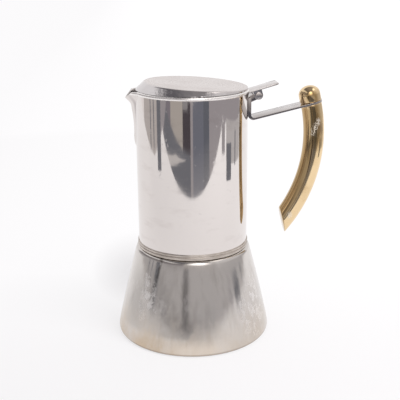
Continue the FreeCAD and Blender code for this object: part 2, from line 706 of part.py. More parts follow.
# Cap nut and stud, on the axis square to the strip
CAP_FRAME = {
    "Base.x": along_strip("handle_arc_radius", "0")[0],
    "Base.z": along_strip("handle_arc_radius", "0")[1],
    "Rotation.Angle": "strip_angle",
}
STUD_TOP = "(strip_thickness + stud_depth)"
CAP_RADIUS = "(grip_radius + cap_overhang)"
CAP_SHOULDER = "(strip_thickness + cap_straight)"
cap = turned_piece("handle_cap", [
    ("stud_radius + fit_clearance", "strip_thickness"),
    (CAP_RADIUS, "strip_thickness"),
    (CAP_RADIUS, CAP_SHOULDER),
    ("0", f"{CAP_SHOULDER} + {CAP_RADIUS}"),
    ("0", f"{STUD_TOP} + fit_clearance"),
    ("stud_radius + fit_clearance", f"{STUD_TOP} + fit_clearance"),
], arcs={2: ("0", CAP_SHOULDER)})
place_bound(cap, HANDLE_TURN, CAP_FRAME)
stud = turned_piece("handle_stud", [
    ("0", "-stud_depth"),
    ("stud_radius", "-stud_depth"),
    ("stud_radius", STUD_TOP),
    ("0", STUD_TOP),
])
place_bound(stud, HANDLE_TURN, CAP_FRAME)

# Hinge pin, headed on both ends outside the lever's ears
PIN_HALF = "(strip_width / 2 + fit_clearance)"
hinge_pin = turned_piece("hinge_pin", [
    ("0", f"-{PIN_HALF} - pin_head"),
    ("pin_head_radius", f"-{PIN_HALF} - pin_head"),
    ("pin_head_radius", f"-{PIN_HALF}"),
    ("pin_radius", f"-{PIN_HALF}"),
    ("pin_radius", PIN_HALF),
    ("pin_head_radius", PIN_HALF),
    ("pin_head_radius", f"{PIN_HALF} + pin_head"),
    ("0", f"{PIN_HALF} + pin_head"),
])
place_bound(hinge_pin, Vector(1, 0, 0), {"Base.x": HINGE_X, "Base.z": HINGE_Z, "Rotation.Angle": "90"})

# Lid: pressed shell between a level rim and a tilted flat top, with a skirt inside the rim
lid = new_body("lid_shell")
LID_TURN = Vector(0, 1, 0)


def lid_level(name, radius, height):
    """A level circle of the lid."""
    return disc(lid, name, "XY_Plane", radius, offset=(Vector(0, 0, 1), {"Base.z": height}))


def lid_tilted(name, radius, drop):
    """A circle in the plane of the lid's flat top, or in one below it."""
    return disc(lid, name, "XY_Plane", radius, offset=(LID_TURN, {
        "Base.x": "lid_top_shift",
        "Base.z": f"{LID_TOP} - {drop}",
        "Rotation.Angle": "lid_tilt",
    }))


loft(lid, "pressing", [
    lid_level("rim", LID_RADIUS, LID_BOTTOM),
    lid_tilted("brow", LID_TOP_RADIUS, "lid_edge"),
    lid_tilted("top", f"{LID_TOP_RADIUS} - lid_edge", "0"),
], "AdditiveLoft", True)
loft(lid, "hollow", [
    lid_level("inner_rim", f"{LID_RADIUS} - lid_lip", f"{LID_BOTTOM} - lid_wall"),
    lid_tilted("inner_top", f"{LID_TOP_RADIUS} - lid_edge - lid_wall", "lid_wall"),
], "SubtractiveLoft", True)
revolve(lid, "skirt", outline(lid, "skirt_profile", "XZ_Plane", [
    (f"{SKIRT_RADIUS} - lid_wall", f"{LID_BOTTOM} - skirt_drop"),
    (SKIRT_RADIUS, f"{LID_BOTTOM} - skirt_drop"),
    (SKIRT_RADIUS, f"{LID_BOTTOM} + lid_wall / 4"),
    (f"{SKIRT_RADIUS} - lid_wall", f"{LID_BOTTOM} + lid_wall / 4"),
]))

# Lever of the lid: thumb strip with two ears folded down onto the hinge pin
lever = new_body("lid_lever")
LEVER_TOP = "lever_lift + lever_thickness"
lever_strip = extrude(lever, "strip", outline(lever, "strip_profile", "XZ_Plane", [
    along_lever(f"{SKIRT_RADIUS} - lid_wall - {HINGE_X}", "lever_lift"),
    along_lever("lever_reach", "lever_lift"),
    along_lever("lever_reach", LEVER_TOP),
    along_lever(f"{SKIRT_RADIUS} - lid_wall - {HINGE_X}", LEVER_TOP),
]), "strip_width")
lever_tip_x = along_lever("lever_reach", "lever_lift + lever_thickness / 2")[0]


def at_lever_tip(edge):
    """Test for the two short edges at the lever's tip."""
    return abs(edge.BoundBox.Center.x - measure(lever_tip_x)) < 0.05 and edge.BoundBox.YLength < 0.01


soften(lever, "tip_corners", lever_strip, "lever_corner", at_lever_tip)
extrude(lever, "ear_webs", outline(lever, "ear_profile", "XZ_Plane", [
    along_lever("-ear_radius", "0"),
    along_lever("ear_radius", "0"),
    along_lever("ear_radius", "lever_lift"),
    along_lever("-ear_radius", "lever_lift"),
]), "strip_width")
extrude(lever, "ear_rounds", disc(lever, "ear_section", "XZ_Plane", "ear_radius", (HINGE_X, HINGE_Z)),
        "strip_width")
extrude(lever, "between_ears", outline(lever, "between_profile", "XZ_Plane", [
    along_lever("-2 * ear_radius", "-2 * ear_radius"),
    along_lever("2 * ear_radius", "-2 * ear_radius"),
    along_lever("2 * ear_radius", "lever_lift"),
    along_lever("-2 * ear_radius", "lever_lift"),
]), "strip_width - 2 * ear_thickness", "Pocket")
extrude(lever, "pin_bore", disc(lever, "pin_hole", "XZ_Plane", "pin_radius + running_clearance",
                                (HINGE_X, HINGE_Z)), "2 * strip_width", "Pocket")
extrude(lever, "skirt_side", disc(lever, "skirt_curve", "XY_Plane", f"{SKIRT_RADIUS} + fit_clearance"),
        f"4 * {RIM_HEIGHT}", "Pocket")

# Safety valve: pieces along their own axis, from the land on the boiler outwards
LAND = "valve_land"
HEX_FOOT = f"({LAND} + valve_washer_thickness)"
HEX_TOP = f"({HEX_FOOT} + valve_hex_height)"
NOSE_TOP = f"({HEX_TOP} + valve_nose_length)"
CAP_SEAT = f"({NOSE_TOP} - valve_cap_thickness)"
STUB_END = f"({LAND} - valve_stub_length)"
VALVE_SEAT = f"({STUB_END} + valve_seat_depth)"
INNER_LAND = "(-boiler_wall - valve_land)"

washer = turned_piece("valve_washer", [
    ("valve_stub_radius + fit_clearance", LAND),
    ("valve_washer_radius", LAND),
    ("valve_washer_radius", HEX_FOOT),
    ("valve_stub_radius + fit_clearance", HEX_FOOT),
])

valve = new_body("valve_body")
revolve(valve, "turning", outline(valve, "profile", "XZ_Plane", [
    ("0", STUB_END),
    ("valve_stub_radius", STUB_END),
    ("valve_stub_radius", f"{HEX_FOOT} + valve_hex_height / 2"),
    ("valve_nose_radius", f"{HEX_FOOT} + valve_hex_height / 2"),
    ("valve_nose_radius", NOSE_TOP),
    ("0", NOSE_TOP),
]))
valve_hex = hexagon(valve, "hexagon", "valve_hex_flats")
valve_hex.setExpression("AttachmentOffset.Base.z", bound(HEX_FOOT))
extrude(valve, "spanner_hex", valve_hex, "valve_hex_height", side="One side")
revolve(valve, "chamber", outline(valve, "chamber_profile", "XZ_Plane", [
    ("0", f"{STUB_END} - valve_seat_depth"),
    ("valve_orifice_radius", f"{STUB_END} - valve_seat_depth"),
    ("valve_orifice_radius", VALVE_SEAT),
    ("valve_chamber_radius", VALVE_SEAT),
    ("valve_chamber_radius", CAP_SEAT),
    ("valve_cap_radius + fit_clearance", CAP_SEAT),
    ("valve_cap_radius + fit_clearance", f"{NOSE_TOP} + valve_seat_depth"),
    ("0", f"{NOSE_TOP} + valve_seat_depth"),
]), "Groove")

valve_cap = turned_piece("valve_cap", [
    ("valve_pin_radius + running_clearance", CAP_SEAT),
    ("valve_cap_radius", CAP_SEAT),
    ("valve_cap_radius", NOSE_TOP),
    ("valve_pin_radius + running_clearance", NOSE_TOP),
])

POPPET_FOOT = f"({VALVE_SEAT} + running_clearance)"
POPPET_TOP = f"({POPPET_FOOT} + poppet_thickness)"
valve_pin = turned_piece("valve_pin", [
    ("0", POPPET_FOOT),
    ("poppet_radius", POPPET_FOOT),
    ("poppet_radius", POPPET_TOP),
    ("valve_pin_radius", POPPET_TOP),
    ("valve_pin_radius", f"{NOSE_TOP} + valve_pin_show"),
    ("0", f"{NOSE_TOP} + valve_pin_show"),
])

nut = new_body("valve_nut")
nut_hex = hexagon(nut, "hexagon", "valve_nut_flats")
nut_hex.setExpression("AttachmentOffset.Base.z", bound(f"{INNER_LAND} - valve_nut_height"))
extrude(nut, "nut_blank", nut_hex, "valve_nut_height", side="One side")
nut_bore = disc(nut, "thread", "XY_Plane", "valve_stub_radius + fit_clearance")
extrude(nut, "nut_bore", nut_bore, "4 * valve_stub_length", "Pocket")


def coil_wire():
    """The valve spring: one unbroken round wire on a helix, built from half turns of arcs."""
    coil = measure("spring_radius")
    wire = measure("spring_wire_radius")
    turns = int(measure("spring_turns"))
    foot = measure(POPPET_TOP) + wire + measure("fit_clearance")
    head = measure(CAP_SEAT) - wire - measure("fit_clearance")
    rise = (head - foot) / turns

    def on_helix(turn):
        angle = 2 * math.pi * turn
        return Vector(coil * math.cos(angle), coil * math.sin(angle), foot + rise * turn)

    quarters = [on_helix(quarter / 4) for quarter in range(4 * turns + 1)]
    arcs = [Part.Arc(quarters[i], quarters[i + 1], quarters[i + 2]).toShape()
            for i in range(0, 4 * turns, 2)]
    path = Part.Wire(arcs)
    start = Part.Circle(quarters[0], arcs[0].tangentAt(arcs[0].FirstParameter), wire).toShape()
    tube = path.makePipeShell([Part.Wire(start)], True, False)
    print("spring gap to itself:", round(rise - 2 * wire, 2), "mm")
    return tube


spring = doc.addObject("Part::Feature", "valve_spring")
spring.Label = "valve_spring"
spring.Shape = coil_wire()
for piece in (washer, valve, valve_cap, valve_pin, nut, spring):
    place_bound(piece, VALVE_TURN, VALVE_FRAME)

# Check every object, then write each piece to its own file
doc.recompute()
failed = [item.Name for item in doc.Objects if {"Invalid", "Error"} & set(item.State)]
if failed:
    raise RuntimeError("failed objects: " + ", ".join(failed))
pieces = [item for item in doc.Objects if item.TypeId in ("PartDesign::Body", "Part::Feature")]
for piece in pieces:
    steps = [step for step in getattr(piece, "Group", []) if step.TypeId.startswith("PartDesign::")]
    for step in steps + [piece]:
        if step.Shape.isNull() or not step.Shape.isValid() or len(step.Shape.Solids) != 1:
            raise RuntimeError(f"{piece.Label}, {step.Label}: not one valid solid")
os.makedirs("parts", exist_ok=True)
for piece in pieces:
    piece.Shape.exportStep(f"parts/{piece.Label}.step")
    print(piece.Label, round(piece.Shape.Volume), "mm3")
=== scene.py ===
"""Stovetop moka pot: satin steel boiler, mirror-polished collector with a hinged lid, brass handle.

Metres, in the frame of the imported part: +Z up along the pot's axis, handle to +X, spout to -X, safety
valve to +Y. The pot's sizes are written in millimetres and scaled by MM, the stage's in metres.
"""
import bmesh
import bpy
from math import acos, asin, atan, cos, hypot, pi, radians, sin, sqrt
from mathutils import Matrix, Vector


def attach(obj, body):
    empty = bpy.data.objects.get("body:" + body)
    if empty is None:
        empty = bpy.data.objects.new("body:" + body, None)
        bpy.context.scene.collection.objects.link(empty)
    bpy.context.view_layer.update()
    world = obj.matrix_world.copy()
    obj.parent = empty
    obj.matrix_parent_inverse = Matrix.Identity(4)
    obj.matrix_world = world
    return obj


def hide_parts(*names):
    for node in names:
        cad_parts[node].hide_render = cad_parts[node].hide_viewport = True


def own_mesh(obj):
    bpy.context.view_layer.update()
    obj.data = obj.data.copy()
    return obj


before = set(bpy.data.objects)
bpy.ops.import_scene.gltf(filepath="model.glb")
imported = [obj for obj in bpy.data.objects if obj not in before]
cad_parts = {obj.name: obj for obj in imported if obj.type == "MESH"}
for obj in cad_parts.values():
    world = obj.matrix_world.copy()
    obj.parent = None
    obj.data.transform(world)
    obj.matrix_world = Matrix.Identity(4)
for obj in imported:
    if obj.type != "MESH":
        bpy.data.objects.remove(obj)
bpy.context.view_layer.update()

# Boiler
# The water vessel: a deep-drawn cone of stainless steel with a rounded shoulder and a rolled neck.
# It is brushed to a satin, spotted by dried water and tinted brown near the flame.
MM = 0.001


def skin(name, rings, material, wrap=False, crease=35):
    """A closed mesh of quads between rings of points; a ring of one point is a pole."""
    points = []
    starts = []
    for ring in rings:
        starts.append(len(points))
        points += [(x * MM, y * MM, z * MM) for x, y, z in ring]
    faces = []
    for lower in range(len(rings) if wrap else len(rings) - 1):
        upper = (lower + 1) % len(rings)
        low_count = len(rings[lower])
        high_count = len(rings[upper])
        count = max(low_count, high_count)
        for i in range(count):
            j = (i + 1) % count
            corners = [starts[lower] + i % low_count, starts[lower] + j % low_count,
                       starts[upper] + j % high_count, starts[upper] + i % high_count]
            faces.append(list(dict.fromkeys(corners)))
    mesh = bpy.data.meshes.new(name)
    mesh.from_pydata(points, [], [face for face in faces if len(face) > 2])
    return finished(name, mesh, material, crease)


def finished(name, mesh, material, crease=35):
    """Merges doubles, turns the faces outwards, sets the shading and puts the piece in the scene."""
    work = bmesh.new()
    work.from_mesh(mesh)
    bmesh.ops.remove_doubles(work, verts=work.verts, dist=1e-7)
    bmesh.ops.dissolve_degenerate(work, edges=work.edges, dist=1e-8)
    bmesh.ops.recalc_face_normals(work, faces=work.faces)
    work.to_mesh(mesh)
    work.free()
    mesh.shade_smooth()
    mesh.set_sharp_from_angle(angle=radians(crease))
    mesh.materials.clear()
    mesh.materials.append(material)
    piece = bpy.data.objects.new(name, mesh)
    bpy.context.scene.collection.objects.link(piece)
    return piece


def eased(corners, steps=5):
    """A profile whose corners, given as radius, height and rounding, are rounded off."""
    profile = []
    for i, (r, z, rounding) in enumerate(corners):
        before = Vector(corners[i - 1][:2])
        here = Vector((r, z))
        after = Vector(corners[(i + 1) % len(corners)][:2])
        if rounding <= 0:
            profile.append((r, z))
            continue
        reach_in = min(rounding, (before - here).length * 0.45)
        reach_out = min(rounding, (after - here).length * 0.45)
        start = here + (before - here).normalized() * reach_in
        end = here + (after - here).normalized() * reach_out
        for step in range(steps + 1):
            t = step / steps
            point = start * (1 - t) ** 2 + here * 2 * t * (1 - t) + end * t ** 2
            profile.append((point.x, point.y))
    return profile


def filled(profile, spacing):
    """The same profile with points added so that no side is longer than the spacing."""
    dense = []
    for i, (r, z) in enumerate(profile):
        next_r, next_z = profile[(i + 1) % len(profile)]
        pieces = max(1, int(hypot(next_r - r, next_z - z) / spacing))
        if r < 1e-6 and next_r < 1e-6:
            pieces = 1
        for k in range(pieces):
            t = k / pieces
            dense.append((r + (next_r - r) * t, z + (next_z - z) * t))
    return dense


def lathe_rings(profile, segments):
    """Rings of points about the Z axis, one for each point of the profile."""
    rings = []
    for r, z in profile:
        if r < 1e-6:
            rings.append([(0, 0, z)])
        else:
            turns = [2 * pi * k / segments for k in range(segments)]
            rings.append([(r * cos(turn), r * sin(turn), z) for turn in turns])
    return rings


def turned(name, corners, material, segments=96, crease=35, spacing=200):
    """A turned piece; a profile that starts and ends on the axis is closed by it, another by itself."""
    profile = filled(eased(corners), spacing)
    hollow = min(r for r, z in profile) > 1e-6
    return skin(name, lathe_rings(profile, segments), material, wrap=hollow, crease=crease)


def node(tree, kind, inputs=None, **settings):
    """A node with its settings, and its inputs given as plain values or as other nodes' outputs."""
    made = tree.nodes.new(kind)
    for key, value in settings.items():
        setattr(made, key, value)
    for key, value in (inputs or {}).items():
        if isinstance(value, bpy.types.NodeSocket):
            tree.links.new(value, made.inputs[key])
        else:
            made.inputs[key].default_value = value
    return made


def new_finish(name):
    """A material with its node tree emptied down to one Principled shader and the object coordinates."""
    material = bpy.data.materials.new(name)
    material.use_nodes = True
    tree = material.node_tree
    tree.nodes.clear()
    shader = node(tree, "ShaderNodeBsdfPrincipled")
    node(tree, "ShaderNodeOutputMaterial", {"Surface": shader.outputs["BSDF"]})
    place = node(tree, "ShaderNodeTexCoord").outputs["Object"]
    return material, tree, shader, place


def cloud(tree, place, stretch, scale, detail=4.0, roughness=0.55):
    """Noise between 0 and 1 on coordinates that are stretched along the axes."""
    mapping = node(tree, "ShaderNodeMapping", {"Vector": place, "Scale": stretch})
    made = node(tree, "ShaderNodeTexNoise", {"Vector": mapping.outputs["Vector"], "Scale": scale,
                                             "Detail": detail, "Roughness": roughness})
    return made.outputs["Fac"]


def level(tree, value, low, high, start=0.0, end=1.0):
    """Maps low to high onto start to end, held at both ends."""
    made = node(tree, "ShaderNodeMapRange", {"Value": value, "From Min": low, "From Max": high,
                                             "To Min": start, "To Max": end})
    return made.outputs["Result"]


def sums(tree, operation, first, second):
    """Arithmetic on two values."""
    return node(tree, "ShaderNodeMath", {0: first, 1: second}, operation=operation).outputs["Value"]


def blended(tree, share, first, second):
    """A colour between two, by a share."""
    made = node(tree, "ShaderNodeMix", {"Factor": share, 6: first, 7: second}, data_type="RGBA")
    return made.outputs[2]


def spot(tree, place, centre, stretch, inner, outer):
    """1 inside a soft spot about a point in millimetres, 0 outside; stretch makes it long or wide."""
    middle = [value * MM for value in centre]
    moved = node(tree, "ShaderNodeVectorMath", {0: place, 1: middle}, operation="SUBTRACT")
    scaled = node(tree, "ShaderNodeVectorMath", {0: moved.outputs["Vector"], 1: stretch},
                  operation="MULTIPLY")
    away = node(tree, "ShaderNodeVectorMath", {0: scaled.outputs["Vector"]}, operation="LENGTH")
    return level(tree, away.outputs["Value"], inner * MM, outer * MM, 1.0, 0.0)


def bumped(tree, shader, height, strength, distance):
    """Gives the shader a fine relief."""
    relief = node(tree, "ShaderNodeBump", {"Height": height, "Strength": strength,
                                           "Distance": distance * MM})
    tree.links.new(relief.outputs["Normal"], shader.inputs["Normal"])


def dressed(tree, shader, colour, rough, metallic=1.0):
    """Gives the shader its colour and roughness, and makes it a metal or not."""
    tree.links.new(colour, shader.inputs["Base Color"])
    tree.links.new(rough, shader.inputs["Roughness"])
    shader.inputs["Metallic"].default_value = metallic


BASE_RADIUS = 52.25
BOILER_HEIGHT = 60.2
SHOULDER_RADIUS = 37.8
NECK_RADIUS = 31.9
NECK_TOP = 71.5
VALVE_HEIGHT = 31.0
SATIN = (0.65, 0.615, 0.585, 1)
DRIPPED_GREY = (0.44, 0.40, 0.365, 1)
# Grey of the painted dark reflection streaks on the boiler's front
STREAK_REFLECTION_GREY = (0.24, 0.22, 0.20, 1)
SPLASHED_GREY = (0.46, 0.42, 0.40, 1)
LIME_WHITE = (0.95, 0.92, 0.90, 1)
SCORCHED_BROWN = (0.58, 0.462, 0.335, 1)
DARKER_PATCH_GREY = (0.34, 0.32, 0.30, 1)
# Warm colour of a painted reflection low on the boiler's wall
FOOT_REFLECTION_WARM = (0.82, 0.725, 0.62, 1)
BOTTOM_EDGE_BROWN = (0.26, 0.20, 0.15, 1)
STREAK_LEAN = 0.287
STREAK_FOOT = -39.4
cone_slope = (BASE_RADIUS - SHOULDER_RADIUS) / BOILER_HEIGHT

satin_steel, tree, shader, place = new_finish("satin_steel")
brushing = cloud(tree, place, (1, 1, 0.06), 900, 3)
blotches = cloud(tree, place, (1, 1, 0.6), 70, 6, 0.65)
drips = cloud(tree, place, (1, 1, 0.1), 150, 4, 0.6)
dried = level(tree, blotches, 0.46, 0.58)
dripped = level(tree, drips, 0.54, 0.70)
along = node(tree, "ShaderNodeSeparateXYZ", {"Vector": place}).outputs
height = along["Z"]
scorched = sums(tree, "MULTIPLY", level(tree, height, 0.028, 0.003), level(tree, blotches, 0.26, 0.58))
scorched = sums(tree, "MULTIPLY", scorched, level(tree, along["X"], -0.028, 0.004, 0.85, 0.4))
left_spots = spot(tree, place, (-34, -30, 32), (1, 1, 0.7), 5, 17)
right_spots = spot(tree, place, (37, -29, 25), (1, 1, 0.7), 7, 21)
splashed = sums(tree, "MAXIMUM", left_spots, right_spots)
specks = level(tree, cloud(tree, place, (1, 1, 0.8), 230, 4, 0.6), 0.49, 0.58)
mottled = sums(tree, "MULTIPLY", specks, level(tree, blotches, 0.40, 0.52))
spotted = sums(tree, "MULTIPLY", splashed, mottled)
# Painted reflection: a slanted dark streak on the left and a short dark column at the front middle, grained,
# stand in for the dark room mirrored in the satin wall
beside_streak = sums(tree, "SUBTRACT", along["X"], sums(tree, "MULTIPLY", height, STREAK_LEAN))
beside_streak = sums(tree, "ABSOLUTE", sums(tree, "SUBTRACT", beside_streak, STREAK_FOOT * MM), 0.0)
streak_reach = sums(tree, "MULTIPLY", level(tree, height, 0.026, 0.036), level(tree, along["Y"], 0, -0.01))
left_reflection_streak = sums(tree, "MULTIPLY", level(tree, beside_streak, 0.0004, 0.0014, 1.0, 0.0), streak_reach)
grains = cloud(tree, place, (1, 1, 0.35), 420, 4, 0.6)
middle_reflection_streak = spot(tree, place, (-8.3, -43, 36), (1, 0.3, 0.16), 0.8, 3.6)
painted_reflection_streaks = sums(tree, "MULTIPLY", sums(tree, "MAXIMUM", left_reflection_streak, sums(tree, "MULTIPLY", middle_reflection_streak, 0.6)),
                level(tree, grains, 0.36, 0.54))
colour = blended(tree, sums(tree, "MULTIPLY", dripped, 0.35), SATIN, DRIPPED_GREY)
colour = blended(tree, sums(tree, "MULTIPLY", painted_reflection_streaks, 0.85), colour, STREAK_REFLECTION_GREY)
colour = blended(tree, sums(tree, "MULTIPLY", splashed, 0.25), colour, SPLASHED_GREY)
colour = blended(tree, sums(tree, "MULTIPLY", spotted, 0.65), colour, LIME_WHITE)
colour = blended(tree, scorched, colour, SCORCHED_BROWN)
# Darker patches over the left side and low at the front, above 9.5 mm, thinner where the dried blotches lie
darker_patches = spot(tree, place, (-27, -41, 34), (1, 1, 0.5), 5, 17)
for centre, stretch, inner, outer in (((-9, -49, 17), (0.8, 1, 1), 5, 14),
                                      ((-40, -25, 30), (1, 1, 0.6), 6, 20),
                                      ((-17, -46, 18), (0.9, 1, 1), 7, 14)):
    darker_patches = sums(tree, "MAXIMUM", darker_patches, spot(tree, place, centre, stretch, inner, outer))
darker_patches = sums(tree, "MULTIPLY", darker_patches, level(tree, height, 0.0095, 0.0130))
darker_patch_share = sums(tree, "MULTIPLY", darker_patches, level(tree, dried, 0, 1, 0.5, 0.15))
colour = blended(tree, darker_patch_share, colour, DARKER_PATCH_GREY)
# Painted reflection: a lighter, warm band low on the wall about the middle (X within 26 mm), where the satin
# mirrors the pale table
painted_foot_reflection = sums(tree, "MULTIPLY", level(tree, height, 0.012, 0.005),
                  level(tree, along["X"], -0.026, -0.010, 0, 0.5))
painted_foot_reflection = sums(tree, "MULTIPLY", painted_foot_reflection, level(tree, along["X"], 0.026, 0.008))
colour = blended(tree, painted_foot_reflection, colour, FOOT_REFLECTION_WARM)
# Darker towards the bottom edge, within its lowest 2.4 mm
darker_bottom_edge = sums(tree, "MULTIPLY", level(tree, height, 0.0024, 0.0008), 0.7)
colour = blended(tree, darker_bottom_edge, colour, BOTTOM_EDGE_BROWN)
rough = sums(tree, "ADD", level(tree, blotches, 0.3, 0.7, 0.11, 0.21),
             level(tree, brushing, 0.3, 0.7, -0.02, 0.02))
dressed(tree, shader, colour, sums(tree, "ADD", rough, sums(tree, "MULTIPLY", spotted, 0.25)))
bumped(tree, shader, brushing, 0.08, 0.05)

WALL_BULGE = 0.5
BOILER_WALL = 0.9
FOOT_DISH = 0.35
BOILER_FLOOR = 1.6
NECK_BORE = 30.65
SHOULDER_UNDERSIDE = 59.0


def wall_radius(height, inset=0.0):
    """The slightly barrelled cone of the boiler."""
    share = height / BOILER_HEIGHT
    return BASE_RADIUS - cone_slope * height + 4 * WALL_BULGE * share * (1 - share) - inset


outer_wall = [(wall_radius(z), z, 0) for z in range(8, 56, 4)]
inner_wall = [(wall_radius(z, BOILER_WALL), z, 0) for z in range(54, 4, -6)]
boiler_shell = turned("boiler_wall", [
    (0, FOOT_DISH, 0),
    (44.0, FOOT_DISH, 0.6),
    (45.2, 0, 0.5),
    (BASE_RADIUS - 0.1, 0, 3.4),
    *outer_wall,
    (SHOULDER_RADIUS, BOILER_HEIGHT, 2.6),
    (NECK_RADIUS, BOILER_HEIGHT, 0.5),
    (NECK_RADIUS, NECK_TOP, 0.5),
    (NECK_BORE, NECK_TOP, 0.5),
    (NECK_BORE, SHOULDER_UNDERSIDE, 0.5),
    (SHOULDER_RADIUS - BOILER_WALL, SHOULDER_UNDERSIDE, 1.0),
    *inner_wall,
    (50.6, BOILER_FLOOR, 1.0),
    (0, BOILER_FLOOR, 0),
], satin_steel, segments=256, spacing=3.0)

# The valve's land is pressed out of the wall, and its hole is punched through it
valve_turn = atan(cone_slope)
valve_frame = (Matrix.Translation((0, (BASE_RADIUS - cone_slope * VALVE_HEIGHT) * MM, VALVE_HEIGHT * MM))
               @ Matrix.Rotation(valve_turn - pi / 2, 4, "X"))
VALVE_LAND = 0.9
LAND_RADIUS = 8.0
LAND_DEPTH = 2.1
VALVE_HOLE = 4.05
PUNCH_REACH = 9


def punched(piece, tool_corners, operation):
    """Joins a turned tool to the piece, or cuts it out, along the valve's axis."""
    tool = turned("tool", tool_corners, piece.data.materials[0], segments=64)
    tool.data.transform(valve_frame)
    cut = piece.modifiers.new("cut", "BOOLEAN")
    cut.operation = operation
    cut.solver = "EXACT"
    cut.object = tool
    bpy.context.view_layer.update()
    mesh = bpy.data.meshes.new_from_object(piece.evaluated_get(bpy.context.evaluated_depsgraph_get()))
    piece.modifiers.remove(cut)
    work = bmesh.new()
    work.from_mesh(mesh)
    bmesh.ops.remove_doubles(work, verts=work.verts, dist=5e-6)
    bmesh.ops.dissolve_degenerate(work, dist=5e-6, edges=work.edges)
    bmesh.ops.triangulate(work, faces=[face for face in work.faces if len(face.verts) > 4])
    work.to_mesh(mesh)
    work.free()
    old = piece.data
    piece.data = mesh
    bpy.data.meshes.remove(old)
    bpy.data.objects.remove(tool)


punched(boiler_shell, [(0, -LAND_DEPTH, 0), (LAND_RADIUS, -LAND_DEPTH, 0.4),
                       (LAND_RADIUS, VALVE_LAND, 0.5), (0, VALVE_LAND, 0)], "UNION")
punched(boiler_shell, [(0, -PUNCH_REACH, 0), (VALVE_HOLE, -PUNCH_REACH, 0),
                       (VALVE_HOLE, PUNCH_REACH, 0), (0, PUNCH_REACH, 0)], "DIFFERENCE")
boiler_shell.data.set_sharp_from_angle(angle=radians(35))
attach(boiler_shell, "boiler")
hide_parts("boiler_shell")

# Neck thread
# The round thread that is rolled into the boiler's steel neck, a little over two turns of 4 mm pitch.
# The collector's collar screws onto it. It is one coil along a helix, half sunk in the neck.
THREAD_PITCH = 4.0
THREAD_TURNS = 2.2
THREAD_STEPS = 96
NECK_COIL = 31.7
NECK_COIL_WIRE = 0.9
NECK_COIL_FOOT = 61.4

wound_wire = bpy.data.node_groups.new("wound_wire", "GeometryNodeTree")
wound_wire.interface.new_socket("Geometry", in_out="OUTPUT", socket_type="NodeSocketGeometry")
for label, kind in (("Turns", "NodeSocketFloat"), ("Coil radius", "NodeSocketFloat"),
                    ("Rise", "NodeSocketFloat"), ("Wire radius", "NodeSocketFloat"),
                    ("Steps a turn", "NodeSocketInt"), ("Finish", "NodeSocketMaterial")):
    wound_wire.interface.new_socket(label, in_out="INPUT", socket_type=kind)
given = wound_wire.nodes.new("NodeGroupInput").outputs
coil = node(wound_wire, "GeometryNodeCurveSpiral", {
    "Resolution": given["Steps a turn"], "Rotations": given["Turns"], "Start Radius": given["Coil radius"],
    "End Radius": given["Coil radius"], "Height": given["Rise"]})
section = node(wound_wire, "GeometryNodeCurvePrimitiveCircle", {
    "Resolution": 12, "Radius": given["Wire radius"]})
wire = node(wound_wire, "GeometryNodeCurveToMesh", {
    "Curve": coil.outputs["Curve"], "Profile Curve": section.outputs["Curve"], "Fill Caps": True})
real = node(wound_wire, "GeometryNodeRealizeInstances", {"Geometry": wire.outputs["Mesh"]})
coated = node(wound_wire, "GeometryNodeSetMaterial", {
    "Geometry": real.outputs["Geometry"], "Material": given["Finish"]})
node(wound_wire, "NodeGroupOutput", {"Geometry": coated.outputs["Geometry"]})


def grown(name, group, values, material, place=Matrix(), crease=50):
    """Runs a node group with its named inputs set, and keeps the result as one plain mesh."""
    carrier = bpy.data.objects.new(name + "_carrier", bpy.data.meshes.new(name + "_carrier"))
    bpy.context.scene.collection.objects.link(carrier)
    modifier = carrier.modifiers.new("grow", "NODES")
    modifier.node_group = group
    for item in group.interface.items_tree:
        if item.in_out == "INPUT" and item.name in values:
            modifier[item.identifier] = values[item.name]
    bpy.context.view_layer.update()
    mesh = bpy.data.meshes.new_from_object(carrier.evaluated_get(bpy.context.evaluated_depsgraph_get()))
    carrier_mesh = carrier.data
    bpy.data.objects.remove(carrier)
    bpy.data.meshes.remove(carrier_mesh)
    mesh.transform(place)
    return finished(name, mesh, material, crease)


neck_thread = grown("neck_thread", wound_wire, {
    "Turns": THREAD_TURNS, "Coil radius": NECK_COIL * MM, "Rise": THREAD_TURNS * THREAD_PITCH * MM,
    "Wire radius": NECK_COIL_WIRE * MM, "Steps a turn": THREAD_STEPS, "Finish": satin_steel}, satin_steel,
    Matrix.Translation((0, 0, NECK_COIL_FOOT * MM)))
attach(neck_thread, "boiler")

